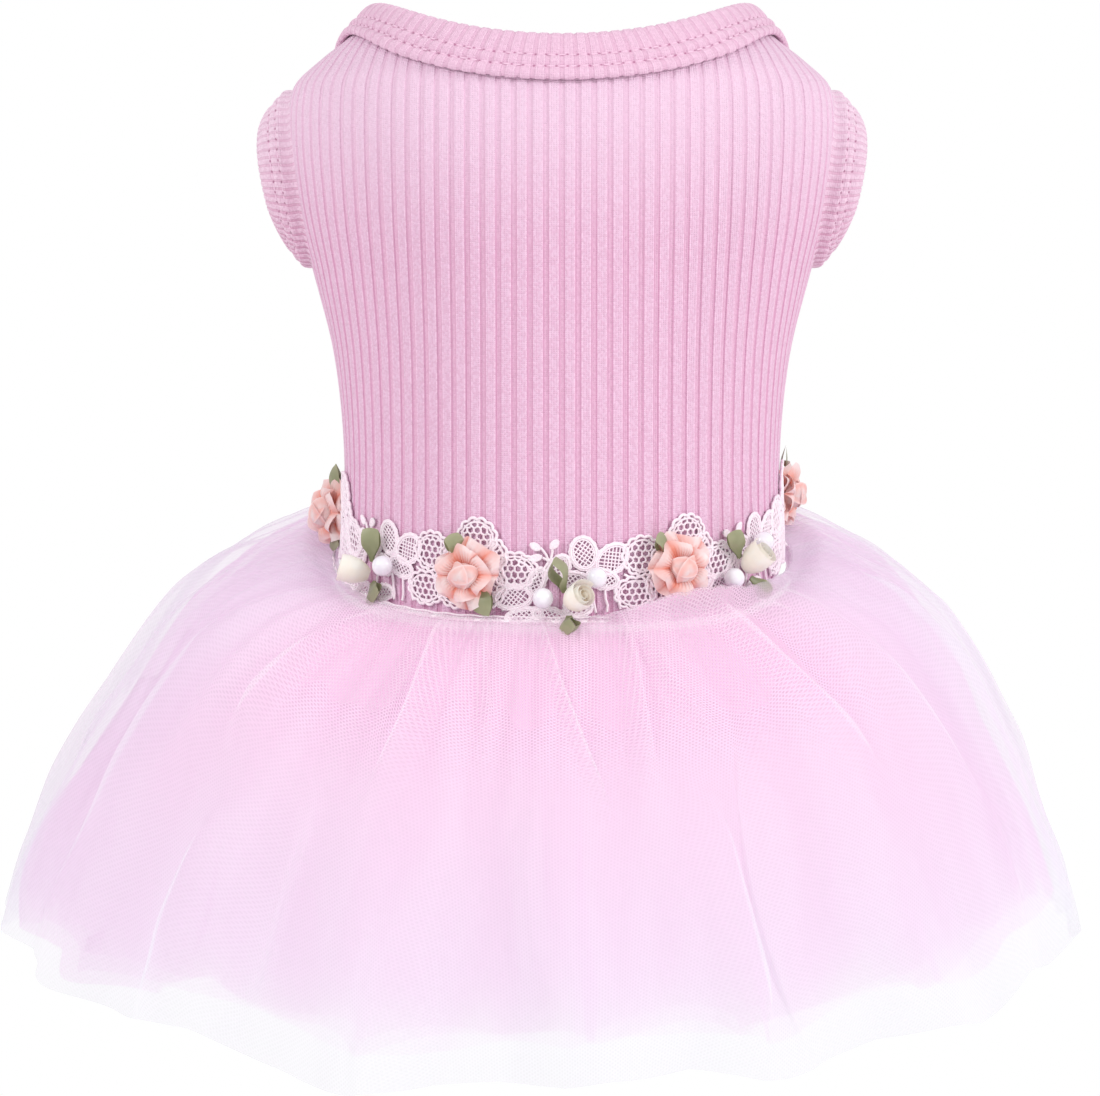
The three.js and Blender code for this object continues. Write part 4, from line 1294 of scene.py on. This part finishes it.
def honeycomb(centre, half_width, half_height, scallops, generator, cell=1.75):
    """Cords of a coarse honeycomb in an oval, with a scalloped double cord round it."""
    cords = []
    side = cell / math.sqrt(3)
    for i in range(-5, 6):
        for j in range(-5, 6):
            node = np.array([i * cell + (j % 2) * cell / 2, j * side * 1.5])
            for degrees in (90, 210, 330):
                step = np.array([math.cos(math.radians(degrees)), math.sin(math.radians(degrees))])
                end = node + step * side
                middle = (node + end) / 2
                if (middle[0] / half_width) ** 2 + (middle[1] / half_height) ** 2 < 0.94:
                    line = np.array([node, middle + generator.normal(size=2) * CORD_SWAY, end])
                    cords.append((with_lift(line + centre, LACE_LIFT), COARSE_CORD))
    turn = np.linspace(0, 2 * np.pi, scallops * 5 + 1)
    wave = np.abs(np.sin(turn * scallops / 2))
    for grow, radius, lift in ((0.1 + 0.55 * wave, EDGE_CORD, 0.12), (-0.5 + 0 * wave, 0.3, 0.05)):
        ring = np.column_stack([(half_width + grow) * np.cos(turn), (half_height + grow) * np.sin(turn)])
        cords.append((with_lift(ring + centre, LACE_LIFT + lift), radius))
    return cords


def solid_leaf(centre, half_length, half_width, degrees):
    """A leaf of cords laid side by side."""
    cords = []
    for k in np.linspace(-0.8, 0.8, 5):
        reach = half_length * math.sqrt(1 - 0.8 * k * k)
        bow = k * half_width * np.sqrt(1 - 0.75 * np.linspace(-1, 1, 6) ** 2)
        line = np.column_stack([np.linspace(-reach, reach, 6), bow])
        cords.append((with_lift(rotated(line, centre, degrees), LACE_LIFT + 0.15), LEAF_CORD))
    return cords


def lace_cords(generator):
    cords = []
    for along, above, half_length, half_width, turn in NET_PETALS:
        cords += net_petal((along, above), half_length, half_width, turn)
    for along, above, half_width, half_height, scallops in HONEYCOMBS:
        cords += honeycomb((along, above), half_width, half_height, scallops, generator)
    for along, above, half_length, half_width, turn in SPRIG_LEAVES:
        cords += solid_leaf((along, above), half_length, half_width, turn)
    for x0, y0, x1, y1 in BARS + SPRIG_STEMS:
        line = np.column_stack([np.linspace(x0, x1, 5), np.linspace(y0, y1, 5)])
        line[1:-1] += generator.normal(size=(3, 2)) * CORD_SWAY
        cords.append((with_lift(line, LACE_LIFT), BAR_CORD))
    for low, radius in ((-0.5, 0.5), (0.5, 0.28)):
        along = np.linspace(0, LACE_REPEAT, 91)
        wave = 0.28 * np.abs(np.sin(along * math.pi / 1.9)) if low < 0 else 0.1 * np.sin(along)
        cords.append((with_lift(np.column_stack([along, low - wave]), LACE_LIFT + 0.1), radius))
    return cords


def lace_object():
    generator = np.random.default_rng(5)
    parts = []
    for start in LACE_REPEAT_STARTS:
        for points, radius in lace_cords(generator):
            degrees = start + points[:, 0] / MM_PER_DEGREE
            if np.abs(degrees).max() < LACE_END:
                parts.append(tube(on_lace(points, start), radius))
    print("lace has", len(parts), "cords")
    return quads_object("lace_trim_cords", parts)


def lace_material():
    """Soft cotton thread, a little uneven in height and colour."""
    material, tree, shader = new_material("lace_thread", 0.85, [("Sheen Weight", 0.2)])
    uneven = noise_value(tree, place_in(tree), 2200, 2)
    add_grain(tree, shader, uneven)
    colour = blend_colours(
        tree, remap(tree, uneven, 0.3, 0.7), linear(250, 228, 240), linear(255, 244, 251)
    )
    tree.links.new(colour, shader.inputs["Base Color"])
    return material


lace = stand_for(lace_object(), ["lace_trim"], lace_material())

# %% [markdown]
# ## Ribbon flowers
# Each rose is satin ribbon gathered along one edge: it stands out in sharp pleats round a rolled heart.
# A bud is a short ribbon rolled into a cone, and a leaf is a ribbon folded into a loop and pinched at
# its foot. All are grids bent in polar form. Modelled petals one by one would show seams that a
# gathered ribbon doesn't have.

# %% Flower places
ROSES = [  # name, degrees round, height above the seam, how far it faces the back, turn of its rim
    ("rose_left_side", -93, 10.5, 28, 40), ("rose_left", -24, 10.3, 0, 0),
    ("rose_right", 30, 11.5, 0, 20), ("rose_right_side", 105, 11.0, -26, -70),
]
BUDS = [  # name, degrees round, height above, how far it faces the back, lean
    ("bud_left", -56, 6.2, 0, 155), ("bud_middle", 1.5, 3.8, 0, 30), ("bud_right", 52, 8.2, 0, 70),
]
LEAVES = [  # flower, turn, distance, length, width, tilt, twist, how far the loop opens, blunt
    ("rose_left_side", 75, 4.4, 8.4, 5.0, 8, 10, 0.7, 0),
    ("rose_left_side", -70, 4.4, 5.4, 5.0, 8, 0, 0.8, 1),
    ("bud_left", 78, 3.2, 8.8, 4.6, 14, 42, 1.2, 1), ("bud_left", -58, 2.4, 5.6, 7.0, 14, 10, 1.0, 1),
    ("rose_left", 112, 4.6, 6.6, 4.6, 14, 38, 1.2, 1), ("rose_left", -58, 4.4, 7.6, 5.8, 10, 0, 0.7, 0),
    ("bud_middle", 108, 3.0, 9.6, 4.2, 24, 62, 2.5, 1),
    ("bud_middle", -86, 3.0, 5.4, 4.6, 40, 52, 2.1, 1),
    ("rose_right", 128, 4.6, 6.2, 4.6, 14, 30, 1.2, 1),
    ("bud_right", 122, 3.4, 8.2, 4.2, 14, -36, 1.2, 1), ("bud_right", -42, 3.0, 7.0, 4.4, 16, 10, 0.8, 1),
    ("rose_right_side", 100, 4.4, 8.0, 5.0, 8, 10, 0.7, 0),
]
PEARLS = [  # name, degrees round, height above
    ("pearl_left", -49.3, 9.6), ("pearl_middle_low", -4.6, 5.2), ("pearl_middle_high", 8.4, 10.2),
    ("pearl_right_low", 46.5, 7.0), ("pearl_right_high", 58.5, 13.6),
]
LACE_FACE = 1.3
PEARL_RADIUS, PEARL_LIFT = 2.6, 0.3


def spun(first, second, angle):
    """Two coordinates or directions turned by an angle in radians."""
    cosine, sine = np.cos(angle), np.sin(angle)
    return first * cosine - second * sine, first * sine + second * cosine


def sewn_at(points, degrees, above, facing=0):
    """Local points (across, up, outward) moved to a place on the lace's face."""
    angle = math.radians(degrees)
    z = float(waist_z(angle)) + above
    across, up, out = body_frame(angle, z)
    place = off_body(angle, z, LACE_FACE)
    across, out = spun(across, out, math.radians(facing))
    return place + points[..., 0:1] * across + points[..., 1:2] * up + points[..., 2:3] * out


# %% Roses
GATHERED_CREASES = 46
THROUGH_SATIN = 0.3
RIM = [  # direction in degrees, reach of the ribbon's edge in mm
    (0, 8.2), (28, 10.3), (48, 8.6), (68, 8.8), (92, 10.0), (118, 7.6), (150, 8.6), (185, 8.4),
    (215, 8.0), (245, 7.6), (278, 9.0), (315, 8.2), (340, 7.7), (360, 8.2),
]


def ruffle(generator, size, turn, base, rim, pleats, depth, foot=1.2):
    """A gathered ribbon round the z axis and its shade; the edge's reach follows the RIM table."""
    around = np.linspace(0, 2 * np.pi, 40 * pleats + 1)
    out = np.linspace(0, 1, 14) ** 0.85
    reach = from_table(RIM, np.degrees(around - math.radians(turn)) % 360) * size
    shifts = generator.uniform(-0.3, 0.3, pleats)
    heights = generator.uniform(0.5, 1.0, pleats)
    cell = around / (2 * np.pi) * pleats
    number = np.floor(cell).astype(int) % pleats
    inside = cell % 1
    peak = 0.5 + shifts[number]
    rise = np.where(inside < peak, inside / peak, (1 - inside) / (1 - peak))
    fold = np.sin(rise * np.pi / 2) * heights[number]
    pinch = np.abs(np.sin(around * GATHERED_CREASES / 2 + 1.5 * np.sin(around * 3 + turn)))
    fade = (1 - smooth(out, 0.25, 0.95))[:, None]
    radius = foot + (reach[None] * (0.98 + 0.03 * fold[None]) - foot) * out[:, None]
    lean = 0.2 * np.sin(np.pi * out)[:, None] * (fold * np.sign(shifts[number]))[None]
    angle = around[None] + lean
    z = base + (rim - base) * np.sin(out * np.pi * 0.6)[:, None]
    z = z + depth * (fold[None] - 0.5) * (out[:, None] ** 0.8) + 0.42 * (pinch[None] - 0.6) * fade
    z = z + (0.5 * fold[None] - 0.9) * smooth(out, 0.7, 1.0)[:, None]
    points = np.stack([radius * np.cos(angle), radius * np.sin(angle), z + 0 * angle], -1)
    # Painted shade, deeper in the pleats' valleys, in the small gathered creases and towards the foot
    valley = (1 - fold[None]) ** 2.2 * (1.1 - 0.5 * out[:, None])
    shade = valley + 0.5 * (1 - pinch[None]) * fade + 0.4 * (1 - out[:, None]) ** 1.5
    return points, np.clip(shade, 0, 1)


HEART_CAPS = [  # radius, half angle, axis tilt, axis turn, height of the middle
    (2.6, 88, 0, 0, 5.0), (3.0, 80, 32, 75, 4.7), (3.4, 74, 42, 200, 4.3), (3.75, 76, 48, -60, 4.0),
]


def heart(turn):
    """The rolled middle: domed wraps of ribbon that overlap, each with a slightly flared edge."""
    parts = []
    around = np.linspace(0, 2 * np.pi, 41)
    for radius, half_angle, tilt, axis_turn, height in HEART_CAPS:
        out = np.linspace(0, 1, 12)[:, None]
        polar = math.radians(half_angle) * out
        reach = radius * (1 + 0.12 * smooth(out, 0.8, 1.0))
        reach = reach * (1 + 0.04 * np.sin(3 * around[None] + radius * 9) * out)
        x = reach * np.sin(polar) * np.cos(around)
        y = reach * np.sin(polar) * np.sin(around)
        z = reach * np.cos(polar) * 0.86 + 0 * around
        x, z = spun(x, z, -math.radians(tilt))
        x, y = spun(x, y, math.radians(axis_turn + turn))
        points = np.stack([x, y, z + height], -1)
        # Painted shade on each wrap, deepening towards its edge and lightening again at the edge itself
        parts.append((points, 0.05 + 0.3 * smooth(out, 0.5, 0.85) - 0.3 * smooth(out, 0.9, 1.0)))
    return parts


def rose_object(name, place, turn, seed):
    generator = np.random.default_rng(seed)
    parts = [
        ruffle(generator, 1.0, turn, 1.6, 3.2, 8, 2.4),
        ruffle(generator, 0.8, turn + 75, 2.6, 5.0, 6, 2.2),
    ] + heart(turn)
    return quads_object(name, [grid_part(sewn_at(part, *place), shade) for part, shade in parts])


def satin(name, light, shaded_colour):
    """Satin ribbon with a soft gloss; its shade map deepens its colour as painted shade in folds and
    hollows.
    """
    material, tree, shader = new_material(name, 0.36, [("Sheen Weight", 0.2)])
    uneven = maths(tree, "MULTIPLY", noise_mask(tree, place_in(tree), 260, 2), 0.2)
    # Painted shade: each piece's shade map, with a little random unevenness, deepens the colour
    shade = maths(tree, "ADD", flat_map(tree)[0], uneven, clamp=True)
    colour = blend_colours(tree, shade, light, shaded_colour)
    tree.links.new(colour, shader.inputs["Base Color"])
    set_surface(tree, light_through(tree, shader, colour, THROUGH_SATIN))
    return material


# Each ribbon's lit colour, then its shaded colour, which is painted shade
coral_satin = satin("coral_satin", linear(255, 240, 241), linear(250, 158, 138))
ivory_satin = satin("ivory_satin", linear(255, 254, 248), linear(252, 226, 190))
green_satin = satin("green_satin", linear(184, 184, 150), linear(134, 140, 100))
for seed, (name, *place, turn) in enumerate(ROSES):
    rose = rose_object(name + "_ribbon", place, turn, 90 + seed)
    stand_for(rose, [name], coral_satin)

# %% Buds
BUD_TILT, BUD_TURNS, BUD_HEIGHT = math.radians(38), 3.1, 8.0
BUD_PROFILE = [(0, 1.5), (0.12, 2.5), (0.4, 3.8), (0.75, 4.1), (0.93, 3.7), (1.0, 3.5)]  # up, radius


def bud_object(name, place, lean):
    """A ribbon rolled into a cone: a spiral of about three turns with a flared lip."""
    wind = np.linspace(0, 2 * np.pi * BUD_TURNS, 110)
    up = np.linspace(0, 1, 13)
    rolled = wind / (2 * np.pi)
    radius = from_table(BUD_PROFILE, up)[:, None] * np.clip(1 - 0.27 * rolled, 0.12, 1)[None]
    lip = smooth(up, 0.78, 1.0)[:, None] * np.clip(1 - rolled * 1.2, 0, 1)[None]
    radius = radius + 0.75 * lip
    height = BUD_HEIGHT * up[:, None] * (1 - 0.02 * rolled)[None] - 0.5 * lip
    angle = wind[None] + 0.25 * up[:, None]
    crease = 0.16 * np.sin(3 * wind)[None] * np.sin(np.pi * up)[:, None]
    radius = radius + crease * np.clip(1 - rolled, 0, 1)[None]
    x, z = spun(radius * np.cos(angle), height, -BUD_TILT)
    x, y = spun(x, radius * np.sin(angle), math.radians(lean))
    leaned = np.stack([x, y, z + 1.6], -1)
    # Painted shade inside the rolled ribbon: deeper on the inner turns and lower down
    shade = 0.75 * smooth(up, 0.95, 0.2)[:, None] * np.clip(rolled - 0.6, 0, 1)[None]
    return quads_object(name, [grid_part(sewn_at(leaned, *place), shade)])


for name, *place, lean in BUDS:
    stand_for(bud_object(name + "_ribbon", place, lean), [name], ivory_satin)

# %% Leaves and pearls
def leaf_points(length, width, tilt, twist, opening, blunt):
    """A ribbon loop: out along the top, round the tip and back underneath."""
    path = np.linspace(0, 1, 33)
    cross = np.linspace(-1, 1, 9)
    forth = np.sin(np.pi * path) ** 0.8
    side = np.cos(np.pi * path)
    x = length * forth
    z = side * (0.25 + opening * np.sin(np.pi * np.clip(forth, 0, 1) ** (1.8 if blunt else 1.0)))
    if blunt:
        half = width / 2 * (0.3 + 0.7 * smooth(forth, 0, 0.6)) * (1 - 0.12 * smooth(forth, 0.85, 1))
    else:
        half = width / 2 * np.clip(np.sin(np.pi * (0.16 + 0.8 * forth)), 0.1, 1)
        half = half * (1 - 0.5 * smooth(forth, 0.85, 1))
    y = cross[None] * half[:, None]
    cup = 0.35 * (cross[None] ** 2) * np.sin(np.pi * forth)[:, None] * side[:, None]
    x = x[:, None] - 0.5 * blunt * (cross[None] ** 2) * forth[:, None] ** 2
    y, z = spun(y, z[:, None] - cup, math.radians(twist) * smooth(forth, 0.0, 0.6)[:, None])
    x, z = spun(x, z, math.radians(tilt))
    # Painted shade towards the loop's foot and on its underside
    shade = (0.8 * (1 - forth) ** 0.7 + 0.25 * smooth(path, 0.45, 0.6))[:, None]
    return np.stack([x, y, z + 1.5], -1), shade


places = {row[0]: row[1:4] for row in ROSES + BUDS}
leaf_count = {}
for flower, turn, away, *shape in LEAVES:
    leaf_count[flower] = leaf_count.get(flower, 0) + 1
    local, shade = leaf_points(*shape)
    x, y = spun(local[..., 0] + away, local[..., 1], math.radians(turn))
    local = np.stack([x, y, local[..., 2]], -1)
    node = f"leaf_{flower}_{leaf_count[flower]}"
    part = grid_part(sewn_at(local, *places[flower]), shade)
    stand_for(quads_object(node + "_ribbon", [part]), [node], green_satin)


def pearl_material():
    material, tree, shader = new_material(
        "pearl_coat", 0.16, [("Coat Weight", 0.6), ("Coat Roughness", 0.08)]
    )
    cloudy = noise_mask(tree, place_in(tree), 320, 2)
    colour = blend_colours(tree, cloudy, linear(234, 229, 238), linear(246, 242, 248))
    tree.links.new(colour, shader.inputs["Base Color"])
    return material


pearl_coat = pearl_material()
for name, degrees, above in PEARLS:
    polar, around = np.linspace(0.02, math.pi - 0.02, 17), np.linspace(0, 2 * np.pi, 33)
    reach = PEARL_RADIUS * np.sin(polar)[:, None]
    height = (PEARL_RADIUS * np.cos(polar) + PEARL_LIFT + PEARL_RADIUS)[:, None] + 0 * around
    ball = np.stack([reach * np.cos(around), reach * np.sin(around), height], -1)
    part = grid_part(sewn_at(ball, degrees, above))
    stand_for(quads_object(name + "_bead", [part]), [name], pearl_coat)

# %% [markdown]
# ## What was cut
# Every sheet of cloth is listed with the size it was cut to, and the area of its mesh is printed beside
# the cut area: the gathered net is much wider than it looks. The veil is about 2.7 times as wide as the
# part of the waist that it is sewn to, and the pink strips are twice as wide.

# %% Cloth as cut
SHEETS = [  # piece, cut width and length in metres, flat area, how held, held by, sewn on
    (back_panel, 0.230, 0.150, 0.0285, "stretched", ["neck_band_knit"], [neck_band, *arm_bands, lace]),
    (chest_panel, 0.160, 0.120, 0.0150, "stretched", ["neck_band_knit"], []),
    (veil, 0.610, 0.130, None, "gathered", ["back_panel_knit"], []),
    (upper, 0.460, 0.123, None, "gathered", ["back_panel_knit"], []),
    (middle_layer, 0.460, 0.120, None, "gathered", ["back_panel_knit"], []),
    (lower, 0.460, 0.117, None, "gathered", ["back_panel_knit"], []),
]
for piece, width, length, area, held, rests_on, sewn_on in SHEETS:
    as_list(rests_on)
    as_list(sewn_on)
    made = sum(face.area for face in piece.data.polygons)
    print(piece.name, "covers", round(made, 4), "m2 of", round(area or width * length, 4), "m2 cut")
